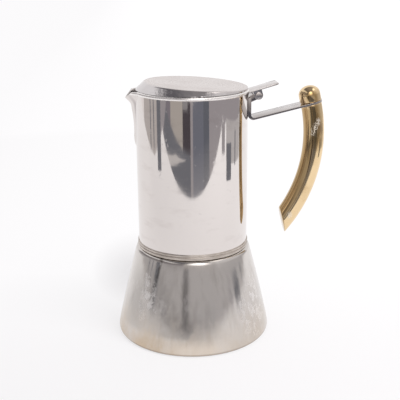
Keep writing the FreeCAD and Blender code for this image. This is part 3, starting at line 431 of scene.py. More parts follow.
# Safety valve
# A turned brass valve on the boiler's back, screwed through the wall with a rubber washer outside and a
# nut inside. A sprung pin in it is pushed out by the steam.
def brass_finish(name, base, worn, darkening, roughness, scuffs=()):
    """Brass with fine scratches and rubbed clouds, darker at the front high up, partly tarnished and partly
    a painted dark reflection, with painted shade on the sides that face the pot below 150 mm, and with pale
    rough scuffs at the places given."""
    material, tree, shader, place = new_finish(name)
    rubbed = cloud(tree, place, (1, 1, 1), 60, 5, 0.6)
    scratches = cloud(tree, place, (1, 1, 0.08), 1100, 3)
    colour = blended(tree, level(tree, rubbed, 0.50, 0.75), base, worn)
    along = node(tree, "ShaderNodeSeparateXYZ", {"Vector": place}).outputs
    # Darker band along the front of the grip's upper part: partly tarnished, partly a painted dark
    # reflection, broken by the rubbed clouds
    held = sums(tree, "MULTIPLY", level(tree, along["Y"], -0.0054, -0.0066),
                level(tree, along["Z"], 0.112, 0.130))
    front_tarnish_and_reflection = sums(tree, "MULTIPLY", held, level(tree, rubbed, 0.30, 0.48))
    # Painted shade on the sides that face the pot (normals towards -X), below 150 mm
    facing = node(tree, "ShaderNodeTexCoord").outputs["Normal"]
    outward = node(tree, "ShaderNodeSeparateXYZ", {"Vector": facing}).outputs["X"]
    painted_pot_side_shade = level(tree, outward, -0.05, -0.45, 0, 0.8)
    painted_pot_side_shade = sums(tree, "MULTIPLY", painted_pot_side_shade, level(tree, along["Z"], 0.1525, 0.1500))
    colour = blended(tree, sums(tree, "MAXIMUM", front_tarnish_and_reflection, painted_pot_side_shade), colour, darkening)
    rough = level(tree, rubbed, 0.35, 0.75, roughness, roughness + 0.12)
    for centre in scuffs:
        ragged = level(tree, cloud(tree, place, (1, 1, 0.6), 1300, 3), 0.44, 0.54)
        scuff = sums(tree, "MULTIPLY", spot(tree, place, centre, (1, 0.6, 0.7), 0.8, 2.4), ragged)
        colour = blended(tree, scuff, colour, (0.86, 0.79, 0.68, 1))
        rough = sums(tree, "ADD", rough, sums(tree, "MULTIPLY", scuff, 0.4))
    dressed(tree, shader, colour, rough)
    bumped(tree, shader, scratches, 0.06, 0.04)
    return material


def copied(name, solid, material, edge=0.15, crease=30):
    """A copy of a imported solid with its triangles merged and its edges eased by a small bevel."""
    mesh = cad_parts[solid].data.copy()
    work = bmesh.new()
    work.from_mesh(mesh)
    bmesh.ops.remove_doubles(work, verts=work.verts, dist=1e-6)
    bmesh.ops.dissolve_limit(work, angle_limit=radians(1.5), verts=work.verts, edges=work.edges)
    work.to_mesh(mesh)
    work.free()
    piece = bpy.data.objects.new(name, mesh)
    bpy.context.scene.collection.objects.link(piece)
    bevel = piece.modifiers.new("ease", "BEVEL")
    bevel.width = edge * MM
    bevel.segments = 3
    bevel.limit_method = "ANGLE"
    bevel.angle_limit = radians(crease)
    bevel.use_clamp_overlap = True
    bpy.context.view_layer.update()
    eased_mesh = bpy.data.meshes.new_from_object(piece.evaluated_get(bpy.context.evaluated_depsgraph_get()))
    bpy.data.objects.remove(piece)
    bpy.data.meshes.remove(mesh)
    eased_mesh.shade_smooth()
    eased_mesh.set_sharp_from_angle(angle=radians(crease + 10))
    eased_mesh.materials.clear()
    eased_mesh.materials.append(material)
    piece = bpy.data.objects.new(name, eased_mesh)
    bpy.context.scene.collection.objects.link(piece)
    return piece


# Worn brass colour, used also as the painted shade on the valve's sides that face -X
WORN_BRASS_AND_SHADE = (0.50, 0.36, 0.18, 1)
turned_brass = brass_finish("turned_brass", (0.72, 0.53, 0.25, 1), WORN_BRASS_AND_SHADE, WORN_BRASS_AND_SHADE, 0.22)
for name, solid, body in (("valve_hex", "valve_body", "boiler"),
                          ("valve_lock_nut", "valve_nut", "boiler"),
                          ("valve_end_cap", "valve_cap", "boiler"),
                          ("valve_sprung_pin", "valve_pin", "valve")):
    piece = copied(name, solid, turned_brass, 0.2)
    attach(piece, body)
    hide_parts(solid)

rubber, tree, shader, place = new_finish("pale_rubber")
speckle = cloud(tree, place, (1, 1, 1), 400, 4)
colour = blended(tree, speckle, (0.70, 0.68, 0.62, 1), (0.84, 0.82, 0.77, 1))
dressed(tree, shader, colour, level(tree, speckle, 0.3, 0.7, 0.55, 0.75), metallic=0.0)
bumped(tree, shader, speckle, 0.15, 0.05)
valve_washer = copied("valve_rubber_washer", "valve_washer", rubber, 0.25)
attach(valve_washer, "boiler")
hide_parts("valve_washer")

# Valve spring
# Six turns of drawn steel wire in the valve's bore, wound about the pin. The spring stands between the
# pin's head and the end cap; in the valve it is squeezed when the pin moves out, here it is one fixed coil.
SPRING_RADIUS = 2.0
SPRING_WIRE = 0.3
SPRING_TURNS = 6
SPRING_PLAY = 0.05
VALVE_STUB = 8.0
SEAT_DEPTH = 2.0
SEAT_PLAY = 0.06
PIN_HEAD = 1.5
WASHER_SHEET = 1.0
HEX_HEIGHT = 4.0
NOSE_LENGTH = 4.0
END_CAP = 1.5
head_top = VALVE_LAND - VALVE_STUB + SEAT_DEPTH + SEAT_PLAY + PIN_HEAD
cap_seat = VALVE_LAND + WASHER_SHEET + HEX_HEIGHT + NOSE_LENGTH - END_CAP
spring_foot = head_top + SPRING_WIRE + SPRING_PLAY
spring_head = cap_seat - SPRING_WIRE - SPRING_PLAY

spring_steel, tree, shader, place = new_finish("spring_steel")
drawn = cloud(tree, place, (1, 1, 1), 700, 3)
colour = blended(tree, drawn, (0.46, 0.46, 0.47, 1), (0.66, 0.66, 0.66, 1))
dressed(tree, shader, colour, level(tree, drawn, 0.3, 0.7, 0.22, 0.38))
valve_spring = grown("valve_coil", wound_wire, {
    "Turns": float(SPRING_TURNS), "Coil radius": SPRING_RADIUS * MM,
    "Rise": (spring_head - spring_foot) * MM, "Wire radius": SPRING_WIRE * MM,
    "Steps a turn": 32, "Finish": spring_steel}, spring_steel,
    valve_frame @ Matrix.Translation((0, 0, spring_foot * MM)))
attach(valve_spring, "boiler")
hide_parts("valve_spring")
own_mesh(valve_spring)

# Funnel
# The pressed steel basket for the ground coffee, hung by its flange in the neck, with a stem that is
# pressed into its sleeve and a perforated plate on its floor.
satin_inside, tree, shader, place = new_finish("satin_inside")
spun = cloud(tree, place, (1, 1, 6), 260, 3)
stained = cloud(tree, place, (1, 1, 1), 50, 5)
colour = blended(tree, level(tree, stained, 0.52, 0.78), (0.66, 0.65, 0.63, 1), (0.47, 0.41, 0.34, 1))
dressed(tree, shader, colour, level(tree, spun, 0.3, 0.7, 0.22, 0.36))
bumped(tree, shader, spun, 0.08, 0.05)

FLANGE_RADIUS = 31.9
FLANGE_TOP = 72.3
BASKET_BORE = 29.35
BASKET_RADIUS = 30.05
BASKET_FLOOR = 49.5
BASKET_UNDERSIDE = 48.8
FUNNEL_END = 38.5
SLEEVE_BORE = 6.05
SLEEVE_RADIUS = 6.75
SLEEVE_END = 32.5
STEM_BORE = 5.2
STEM_RADIUS = 6.0
STEM_END = 6.6
funnel_basket = turned("funnel_pressing", [
    (FLANGE_RADIUS, NECK_TOP, 0.3),
    (FLANGE_RADIUS, FLANGE_TOP, 0.4),
    (BASKET_BORE, FLANGE_TOP, 0.8),
    (BASKET_BORE, BASKET_FLOOR, 0.5),
    (27.95, BASKET_FLOOR, 0.5),
    (SLEEVE_BORE, FUNNEL_END, 1.5),
    (SLEEVE_BORE, SLEEVE_END, 0.15),
    (SLEEVE_RADIUS, SLEEVE_END, 0.3),
    (SLEEVE_RADIUS, 37.8, 1.5),
    (28.65, BASKET_UNDERSIDE, 0.6),
    (BASKET_RADIUS, BASKET_UNDERSIDE, 0.8),
    (BASKET_RADIUS, NECK_TOP, 0.2),
], satin_inside, segments=160)
funnel_stem = turned("funnel_tube", [
    (STEM_BORE, STEM_END, 0.25),
    (STEM_RADIUS, STEM_END, 0.3),
    (STEM_RADIUS, FUNNEL_END, 0.2),
    (STEM_BORE, FUNNEL_END, 0.2),
], satin_inside, segments=64)
for piece, solid in ((funnel_basket, "funnel_basket"), (funnel_stem, "funnel_stem")):
    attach(piece, "funnel")
    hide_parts(solid)

# Filter plates
# Two discs of steel sheet with fine punched holes: one on the funnel's floor under the coffee, one over
# it, which the gasket carries.
PLATE_SHEET = 0.8
PLATE_SEAT = 73.2
HOLE_PITCH = 2.1
HOLE_RADIUS = 0.45
BARE_EDGE = 3.2
HOLES_ACROSS = 29

sieve = bpy.data.node_groups.new("sieve", "GeometryNodeTree")
sieve.interface.new_socket("Geometry", in_out="OUTPUT", socket_type="NodeSocketGeometry")
for label, kind in (("Radius", "NodeSocketFloat"), ("Sheet", "NodeSocketFloat"),
                    ("Pitch", "NodeSocketFloat"), ("Hole radius", "NodeSocketFloat"),
                    ("Bare edge", "NodeSocketFloat"), ("Finish", "NodeSocketMaterial")):
    sieve.interface.new_socket(label, in_out="INPUT", socket_type=kind)
given = sieve.nodes.new("NodeGroupInput").outputs
row_step = sums(sieve, "MULTIPLY", given["Pitch"], sqrt(3) / 2)
punch_grid = node(sieve, "GeometryNodeMeshGrid", {
    "Size X": sums(sieve, "MULTIPLY", given["Pitch"], HOLES_ACROSS - 1.0), "Vertices X": HOLES_ACROSS,
    "Size Y": sums(sieve, "MULTIPLY", row_step, HOLES_ACROSS - 1.0), "Vertices Y": HOLES_ACROSS})
position = node(sieve, "GeometryNodeInputPosition").outputs["Position"]
where = node(sieve, "ShaderNodeSeparateXYZ", {"Vector": position})
row = sums(sieve, "ROUND", sums(sieve, "DIVIDE", where.outputs["Y"], row_step), 0.0)
odd_row = sums(sieve, "ABSOLUTE", sums(sieve, "MODULO", row, 2.0), 0.0)
half_step = sums(sieve, "MULTIPLY", sums(sieve, "MULTIPLY", odd_row, given["Pitch"]), 0.5)
staggered = node(sieve, "GeometryNodeSetPosition", {
    "Geometry": punch_grid.outputs["Mesh"],
    "Offset": node(sieve, "ShaderNodeCombineXYZ", {"X": half_step}).outputs["Vector"]})
reach = node(sieve, "ShaderNodeVectorMath", {0: position}, operation="LENGTH").outputs["Value"]
outside = sums(sieve, "GREATER_THAN", reach, sums(sieve, "SUBTRACT", given["Radius"], given["Bare edge"]))
punched_places = node(sieve, "GeometryNodeDeleteGeometry", {
    "Geometry": staggered.outputs["Geometry"], "Selection": outside})
punch = node(sieve, "GeometryNodeMeshCylinder", {"Vertices": 8, "Radius": given["Hole radius"],
                                                 "Depth": sums(sieve, "MULTIPLY", given["Sheet"], 3.0)})
punches = node(sieve, "GeometryNodeInstanceOnPoints", {"Points": punched_places.outputs["Geometry"],
                                                       "Instance": punch.outputs["Mesh"]})
blank = node(sieve, "GeometryNodeMeshCylinder", {
    "Vertices": 128, "Radius": given["Radius"], "Depth": given["Sheet"]})
real_punches = node(sieve, "GeometryNodeRealizeInstances", {"Geometry": punches.outputs["Instances"]})
cut = node(sieve, "GeometryNodeMeshBoolean", {
    "Mesh 1": blank.outputs["Mesh"], "Mesh 2": real_punches.outputs["Geometry"]}, operation="DIFFERENCE")
real = node(sieve, "GeometryNodeRealizeInstances", {"Geometry": cut.outputs["Mesh"]})
coated = node(sieve, "GeometryNodeSetMaterial", {
    "Geometry": real.outputs["Geometry"], "Material": given["Finish"]})
node(sieve, "NodeGroupOutput", {"Geometry": coated.outputs["Geometry"]})

for name, solid, body, slot, radius, seat in (
        ("funnel_sieve", "funnel_filter", "funnel", "funnel", 29.3, BASKET_FLOOR),
        ("upper_sieve", "filter_plate", "seal", "inner_steel", 28.0, PLATE_SEAT)):
    plate = grown(name, sieve, {
        "Radius": radius * MM, "Sheet": PLATE_SHEET * MM, "Pitch": HOLE_PITCH * MM,
        "Hole radius": HOLE_RADIUS * MM, "Bare edge": BARE_EDGE * MM, "Finish": satin_inside}, satin_inside,
        Matrix.Translation((0, 0, (seat + PLATE_SHEET / 2) * MM)))
    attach(plate, body)
    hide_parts(solid)

# Gasket
# The pale silicone ring between the funnel's flange and the collector's floor. Its lip carries the
# upper filter plate.
FLOOR_HEIGHT = 74.8
GASKET_BORE = 25.5
GASKET_RADIUS = 32.85
PLATE_RECESS = 28.05
gasket = turned("gasket_ring", [
    (GASKET_BORE, FLANGE_TOP, 0.3),
    (GASKET_RADIUS, FLANGE_TOP, 0.5),
    (GASKET_RADIUS, FLOOR_HEIGHT, 0.5),
    (PLATE_RECESS, FLOOR_HEIGHT, 0.2),
    (PLATE_RECESS, PLATE_SEAT, 0.15),
    (GASKET_BORE, PLATE_SEAT, 0.3),
], rubber, segments=160)
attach(gasket, "seal")
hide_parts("gasket")

# Collar
# A dull turned steel ring that is pressed into the collector's foot. It shows as two thin beads and has
# the inner thread that screws onto the boiler's neck.
COLLAR_BOTTOM = 60.4
COLLECTOR_BOTTOM = 64.3
COLLAR_RADIUS = 37.0
COLLAR_BORE = 33.6
SOCKET_RADIUS = 35.41
COLLAR_COIL = 33.65
COLLAR_COIL_WIRE = 0.8
COLLAR_COIL_FOOT = 63.2
dull_steel, tree, shader, place = new_finish("dull_turned_steel")
lathe_marks = cloud(tree, place, (1, 1, 8), 500, 3)
grime = cloud(tree, place, (1, 1, 1), 90, 4)
colour = blended(tree, level(tree, grime, 0.4, 0.7), (0.62, 0.562, 0.51, 1), (0.40, 0.352, 0.31, 1))
dressed(tree, shader, colour, level(tree, lathe_marks, 0.3, 0.7, 0.30, 0.46))
bumped(tree, shader, lathe_marks, 0.15, 0.05)
threaded_collar = turned("collar_ring", [
    (COLLAR_BORE, COLLAR_BOTTOM, 0.4),
    (36.8, COLLAR_BOTTOM, 0.3),
    (COLLAR_RADIUS, 61.2, 0.4),
    (COLLAR_RADIUS, 62.2, 0.5),
    (36.55, 62.6, 0.15),
    (36.95, 63.0, 0.4),
    (36.95, 63.9, 0.4),
    (36.5, COLLECTOR_BOTTOM, 0.2),
    (SOCKET_RADIUS, COLLECTOR_BOTTOM, 0.1),
    (SOCKET_RADIUS, FLOOR_HEIGHT, 0.2),
    (COLLAR_BORE, FLOOR_HEIGHT, 0.3),
], dull_steel, segments=224)
collar_thread = grown("collar_thread", wound_wire, {
    "Turns": THREAD_TURNS, "Coil radius": COLLAR_COIL * MM, "Rise": THREAD_TURNS * THREAD_PITCH * MM,
    "Wire radius": COLLAR_COIL_WIRE * MM, "Steps a turn": THREAD_STEPS, "Finish": dull_steel}, dull_steel,
    Matrix.Translation((0, 0, COLLAR_COIL_FOOT * MM)))
for piece in (threaded_collar, collar_thread):
    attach(piece, "collector")
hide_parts("threaded_collar")

# Collector floor and chimney
# Inside the collector: a domed floor, a tapered riser that is flanged under it, and a pointed hat with
# an outlet on each side, from which the coffee runs.
FLOOR_EDGE_TOP = 75.8
DOME_UNDERSIDE = 81.8
DOME_TOP = 82.8
CHIMNEY_FOOT = 81.0
CHIMNEY_SHOULDER = 131.8
CHIMNEY_TOP = 135.8
collector_floor = turned("collector_domed_floor", [
    (SOCKET_RADIUS, FLOOR_HEIGHT, 0.2),
    (SOCKET_RADIUS, FLOOR_EDGE_TOP, 0.2),
    (27.0, FLOOR_EDGE_TOP, 2.5),
    (11.0, DOME_TOP, 2.5),
    (8.05, DOME_TOP, 0.2),
    (8.05, DOME_UNDERSIDE, 0.1),
    (11.0, DOME_UNDERSIDE, 2.0),
    (27.0, FLOOR_HEIGHT, 2.0),
], satin_inside, segments=160)
chimney = turned("chimney_riser", [
    (7.2, CHIMNEY_FOOT, 0.2),
    (9.6, CHIMNEY_FOOT, 0.3),
    (9.6, DOME_UNDERSIDE, 0.2),
    (8.0, DOME_UNDERSIDE, 0.1),
    (8.0, DOME_TOP, 1.0),
    (5.6, CHIMNEY_SHOULDER, 2.0),
    (5.6, CHIMNEY_TOP, 0.2),
    (4.8, CHIMNEY_TOP, 0.2),
    (4.8, CHIMNEY_SHOULDER, 2.0),
    (7.2, DOME_TOP, 1.0),
], satin_inside, segments=80)
for piece, solid in ((collector_floor, "collector_floor"), (chimney, "chimney"),
                     (copied("chimney_hat", "chimney_cap", satin_inside, 0.15), "chimney_cap")):
    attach(piece, "collector")
    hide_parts(solid)

# Collector wall
# The mirror-polished upper pot: a drawn steel tube with a rolled rim, a V spout that is pressed out of
# it and spreads at the rim, and a notch in the rim for the lid's lever.
COLLECTOR_RADIUS = 36.36
WALL = 0.9
RIM_HEIGHT = 163.3
BEAD_RADIUS = 1.1
LIP_BEAD = 0.5
NOTCH_BEAD = 0.46
BEAD_SHIFT = 0.19
NOTCH_HALF = 7.7
NOTCH_FLOOR = 160.0
LIP_LINE = 202.1
LIP_EASE = 0.6
SPOUT_NOSE = 0.14
SPOUT_TURN = 0.42
PLAIN_LENGTH = 60.0
RIDGE = ((126, 0.0), (127.5, 0.0), (130, 0.75), (133, 1.14), (140, 1.05), (146, 1.36), (152, 2.15),
         (156, 3.0), (160, 6.7), (166, 12.6))
SPREAD = ((126, 1.5), (133, 3.2), (146, 3.8), (156, 6.0), (162, 10.5), (166, 12.6))


def curve_through(knots, at):
    """A smooth curve through knots of height and value."""
    last = len(knots) - 2
    i = max(0, min(last, sum(1 for knot in knots if knot[0] <= at) - 1))
    (z0, v0), (z1, v1) = knots[i], knots[i + 1]
    slope_in = (v1 - knots[max(i - 1, 0)][1]) / (z1 - knots[max(i - 1, 0)][0])
    after = knots[min(i + 2, last + 1)]
    slope_out = (after[1] - v0) / (after[0] - z0)
    t = max(0.0, min(1.0, (at - z0) / (z1 - z0)))
    span = z1 - z0
    return (v0 * (1 + 2 * t) * (1 - t) ** 2 + slope_in * span * t * (1 - t) ** 2
            + v1 * t * t * (3 - 2 * t) - slope_out * span * t * t * (1 - t))


def pressed_out(height, aside):
    """How far the spout pushes the wall forward at a height and a distance from its middle."""
    share = abs(aside) / curve_through(SPREAD, height)
    if share >= 1 or height <= RIDGE[0][0]:
        return 0.0
    blunt = SPOUT_NOSE * SPOUT_NOSE
    fall = (sqrt(share * share + blunt) - SPOUT_NOSE) / (sqrt(1 + blunt) - SPOUT_NOSE)
    return curve_through(RIDGE, height) * (1 - fall) * (1 - 0.35 * share * (1 - share))


middle_radius = COLLECTOR_RADIUS - WALL / 2
notch_turn = asin(NOTCH_HALF / middle_radius)


def wall_point(turn, height):
    """A point in the middle of the collector's wall."""
    x = middle_radius * cos(turn)
    y = middle_radius * sin(turn)
    forward = pressed_out(height, y) if x < 0 else 0.0
    return Vector((x - forward, y, height))


def top_of(turn):
    """Where a strip of the wall ends: at the rim, or on the slanted line of the spout's lip."""
    low, high = 150.0, RIM_HEIGHT
    if cos(turn) > 0 or -wall_point(turn, high).x + high < LIP_LINE - LIP_EASE:
        return RIM_HEIGHT
    for step in range(40):
        middle = (low + high) / 2
        if -wall_point(turn, middle).x + middle < LIP_LINE - LIP_EASE:
            low = middle
        else:
            high = middle
    return low


def wall_strip(turn, notched):
    """One closed section of the wall: up the outside, round the rolled rim, down the inside."""
    top = NOTCH_FLOOR - 0.45 if notched else top_of(turn)
    out_of_round = min(1.0, max(0.0, (-wall_point(turn, top).x - middle_radius * -cos(turn)) / 4.0))
    bead = NOTCH_BEAD if notched else BEAD_RADIUS - (BEAD_RADIUS - LIP_BEAD) * out_of_round
    shift = BEAD_SHIFT * (bead - NOTCH_BEAD) / (BEAD_RADIUS - NOTCH_BEAD)
    wall_top = top - 1.05 * bead
    spout_foot = COLLECTOR_BOTTOM + PLAIN_LENGTH
    heights = [COLLECTOR_BOTTOM + PLAIN_LENGTH * k / 20 for k in range(20)]
    heights += [spout_foot + (wall_top - spout_foot) * k / 52 for k in range(53)]

    def outward(height):
        step = 0.004
        across = wall_point(turn + step, height) - wall_point(turn - step, height)
        up = wall_point(turn, height + 0.1) - wall_point(turn, height - 0.1)
        return across.cross(up).normalized(), up.normalized()

    outside = []
    inside = []
    for height in heights:
        normal = outward(height)[0]
        outside.append(wall_point(turn, height) + normal * WALL / 2)
        inside.append(wall_point(turn, height) - normal * WALL / 2)
    normal, up = outward(top)
    centre = wall_point(turn, top) + normal * shift
    first = -acos((WALL / 2 - shift) / bead)
    last = 2 * pi - acos((-WALL / 2 - shift) / bead)
    rolled = []
    for k in range(21):
        angle = first + (last - first) * k / 20
        rolled.append(centre + normal * bead * cos(angle) + up * bead * sin(angle))
    return [tuple(point) for point in outside + rolled + inside[::-1]]


wall_strips = []
side_turns = [notch_turn + k * (pi - SPOUT_TURN - notch_turn) / 108 for k in range(109)]
spout_turns = [pi - SPOUT_TURN + k * 2 * SPOUT_TURN / 100 for k in range(1, 100)]
for turn in side_turns + spout_turns + [2 * pi - turn for turn in side_turns[::-1]]:
    wall_strips.append(wall_strip(turn, False))
for k in range(13):
    wall_strips.append(wall_strip(2 * pi - notch_turn + 2 * notch_turn * k / 12, True))

polished_steel, tree, shader, place = new_finish("polished_steel")
wiped = cloud(tree, place, (1, 1, 3), 55, 5, 0.6)
hairlines = cloud(tree, place, (1, 1, 0.05), 1500, 2)
flecks = cloud(tree, place, (1, 1, 1), 420, 2, 0.5)
colour = blended(tree, level(tree, wiped, 0.55, 0.8), (0.745, 0.70, 0.675, 1), (0.67, 0.62, 0.595, 1))
along = node(tree, "ShaderNodeSeparateXYZ", {"Vector": place}).outputs
height = along["Z"]
aside = sums(tree, "ABSOLUTE", along["Y"], 0.0)
folded = node(tree, "ShaderNodeCombineXYZ", {"X": along["X"], "Y": aside, "Z": height}).outputs["Vector"]
# The rolled rim is rougher and paler than the wall; the paler colour is a painted highlight along the bead
on_rim = level(tree, height, (RIM_HEIGHT - 1.4) * MM, (RIM_HEIGHT - 0.9) * MM)
# Painted shade in the creases beside the spout, on both sides of it
painted_crease_shade = spot(tree, folded, (-36, 5.6, 150), (0.3, 1, 0.12), 0.8, 2.4)
colour = blended(tree, sums(tree, "MULTIPLY", painted_crease_shade, 0.7), colour, (0.42, 0.38, 0.38, 1))
colour = blended(tree, on_rim, colour, (0.92, 0.89, 0.87, 1))
gloss = sums(tree, "ADD", level(tree, wiped, 0.4, 0.75, 0.035, 0.09),
             level(tree, flecks, 0.66, 0.78, 0.0, 0.18))
dressed(tree, shader, colour, sums(tree, "ADD", gloss, sums(tree, "MULTIPLY", on_rim, 0.22)))
bumped(tree, shader, hairlines, 0.02, 0.03)
collector_shell = skin("collector_wall", wall_strips, polished_steel, wrap=True, crease=50)
collector_shell.data.materials.append(satin_inside)
for face in collector_shell.data.polygons:
    if face.normal.xy.dot(face.center.xy) < 0 and face.center.z < (RIM_HEIGHT - BEAD_RADIUS) * MM:
        face.material_index = 1
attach(collector_shell, "collector")
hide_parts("collector_shell")

# Handle bracket, hinge pin and stud
# One strip of steel, bent: a leg that is spot-welded to the wall, a knuckle for the lid's hinge on top
# and an arm that runs out to the grip. A headed pin holds the lid's lever in the knuckle, and a
# threaded stud through the arm holds the grip.
def strip_finish(name, darkening, edge_shade):
    """Rolled steel, dulled in clouds; the second argument sets a painted shade that darkens it towards the
    wall, the third a painted shade that darkens its cut edges.
    """
    material, tree, shader, place = new_finish(name)
    rolled_marks = cloud(tree, place, (0.1, 1, 1), 700, 3)
    dulled = cloud(tree, place, (1, 1, 1), 120, 4)
    colour = blended(tree, level(tree, dulled, 0.45, 0.75), (0.67, 0.635, 0.62, 1), (0.52, 0.475, 0.455, 1))
    along = node(tree, "ShaderNodeSeparateXYZ", {"Vector": place}).outputs
    # Painted shade towards the collector's wall
    painted_wall_shade = level(tree, along["X"], 0.072, 0.046, 0, darkening)
    colour = blended(tree, painted_wall_shade, colour, (0.36, 0.33, 0.315, 1))
    # Painted shade on the cut edges, the faces that look along Y
    facing = node(tree, "ShaderNodeTexCoord").outputs["Normal"]
    outward = node(tree, "ShaderNodeSeparateXYZ", {"Vector": facing}).outputs["Y"]
    edgeways = sums(tree, "ABSOLUTE", outward, 0.0)
    colour = blended(tree, level(tree, edgeways, 0.6, 0.9, 0, edge_shade), colour, (0.22, 0.20, 0.20, 1))
    dressed(tree, shader, colour, level(tree, dulled, 0.3, 0.75, 0.07, 0.20))
    bumped(tree, shader, rolled_marks, 0.06, 0.04)
    return material


strip_steel = strip_finish("strip_steel", 0, 0)
# The bracket gets painted shade towards the wall and on its cut edges
bracket_steel = strip_finish("bracket_steel", 0.65, 0.6)
for name, solid, material in (("bracket_strip", "handle_bracket", bracket_steel),
                              ("hinge_rivet", "hinge_pin", strip_steel),
                              ("grip_stud", "handle_stud", strip_steel)):
    piece = copied(name, solid, material, 0.18)
    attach(piece, "collector")
    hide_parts(solid)

# Grip and cap nut
# A bent round bar of polished brass, cut off at a slant at its lower end and worn by the hand, with painted
# shade on its side to the pot and a painted dark reflection along its front. A domed brass cap nut above the
# arm screws onto the stud and clamps the bar up under the arm.
ARC_X = -14.5
ARC_Z = 131.8
ARC_RADIUS = 95.1
STRIP_ANGLE = radians(13.2)
STRIP_THICKNESS = 1.3
GRIP_RADIUS = 6.85
GRIP_SWEEP = radians(50.8)
GRIP_SLANT = radians(39.6)
CAP_RADIUS = 7.05
CAP_STRAIGHT = 4.7
CAP_DOME = 5.8
GRIP_SCUFFS = ((78.2, -6.7, 135.6), (80.0, -6.7, 139.0), (81.8, -6.5, 142.4), (64.5, -6.8, 79.0))

polished_brass = brass_finish("polished_brass", (0.84, 0.645, 0.39, 1), (0.64, 0.46, 0.25, 1),
                              (0.445, 0.30, 0.135, 1), 0.05, GRIP_SCUFFS)


def on_bar(sweep, around, radius):
    """A point of the bent bar: sweep along the arc from the arm, around and out from its middle."""
    reach = ARC_RADIUS + radius * cos(around)
    angle = STRIP_ANGLE - sweep
    return Vector((ARC_X + reach * cos(angle), radius * sin(around), ARC_Z + reach * sin(angle)))


cut_middle = on_bar(GRIP_SWEEP, 0, 0)
cut_angle = STRIP_ANGLE - GRIP_SWEEP - GRIP_SLANT
cut_normal = Vector((sin(cut_angle), 0, -cos(cut_angle)))


def sweep_to_cut(around, radius, short):
    """How far a line along the bar runs before it meets the slanted cut, less a little."""
    low, high = 0.3, 1.4
    for step in range(40):
        middle = (low + high) / 2
        if (on_bar(middle, around, radius) - cut_middle).dot(cut_normal) < -short:
            low = middle
        else:
            high = middle
    return low


BAR_SIDES = 56
BAR_STEPS = 89
EASED_TOP = 0.004
EASED_END = 0.5
bar_turns = [2 * pi * k / BAR_SIDES for k in range(BAR_SIDES)]
bar_ends = [sweep_to_cut(turn, GRIP_RADIUS, EASED_END) for turn in bar_turns]
grip_rings = [[tuple(on_bar(0.0, 0, 0))]]
for inset, start in ((0.35, 0.0), (0.1, 0.001), (0, EASED_TOP)):
    grip_rings.append([tuple(on_bar(start, turn, GRIP_RADIUS - inset)) for turn in bar_turns])
for step in range(1, BAR_STEPS + 1):
    ring = []
    for turn, end in zip(bar_turns, bar_ends):
        sweep = EASED_TOP + (end - EASED_TOP) * step / BAR_STEPS
        ring.append(tuple(on_bar(sweep, turn, GRIP_RADIUS)))
    grip_rings.append(ring)
for inset, short in ((0.06, 0.25), (0.22, 0.07), (0.5, 0.0)):
    radius = GRIP_RADIUS - inset
    grip_rings.append([tuple(on_bar(sweep_to_cut(turn, radius, short), turn, radius)) for turn in bar_turns])
grip_rings.append([tuple(cut_middle)])
handle_grip = skin("brass_grip", grip_rings, polished_brass)

cap_corners = [(0, 0, 0), (CAP_RADIUS - 0.5, 0, 0.2), (CAP_RADIUS, 0.5, 0.3), (CAP_RADIUS, CAP_STRAIGHT, 0)]
for k in range(1, 20):
    rise = pi / 2 * k / 19
    cap_corners.append((CAP_RADIUS * cos(rise) if k < 19 else 0, CAP_STRAIGHT + CAP_DOME * sin(rise), 0))
handle_cap = turned("brass_cap_nut", cap_corners, polished_brass, segments=72)
cap_foot = on_bar(0, 0, 0) + Vector((-sin(STRIP_ANGLE), 0, cos(STRIP_ANGLE))) * STRIP_THICKNESS
handle_cap.data.transform(Matrix.Translation(cap_foot * MM) @ Matrix.Rotation(-STRIP_ANGLE, 4, "Y"))
for piece, solid in ((handle_grip, "handle_grip"), (handle_cap, "handle_cap")):
    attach(piece, "collector")
    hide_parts(solid)

# Lid
# A pressed steel lid: level rim, sloping side and a flat top that is tilted down towards the hinge, with
# a skirt inside the rim. Its side is polished and faintly dented, its top dulled by a fine round brushing.
LID_RADIUS = 36.0
LID_BOTTOM = 164.5
LID_TOP = 167.8
LID_TOP_RADIUS = 33.2
LID_SHIFT = 3.0
LID_TILT = radians(3.7)
LID_WALL = 0.8
SKIRT_RADIUS = 34.0
SKIRT_BOTTOM = 160.6
LID_DISH = 0.12
LID_EDGE = 1.3
DENT_DEPTH = 300.0


def on_top(turn, radius, drop):
    """A point of the lid's tilted top, or of a plane below it."""
    x = radius * cos(turn)
    return Vector((LID_SHIFT + x * cos(LID_TILT) - drop * sin(LID_TILT), radius * sin(turn),
                   LID_TOP - x * sin(LID_TILT) - drop * cos(LID_TILT)))


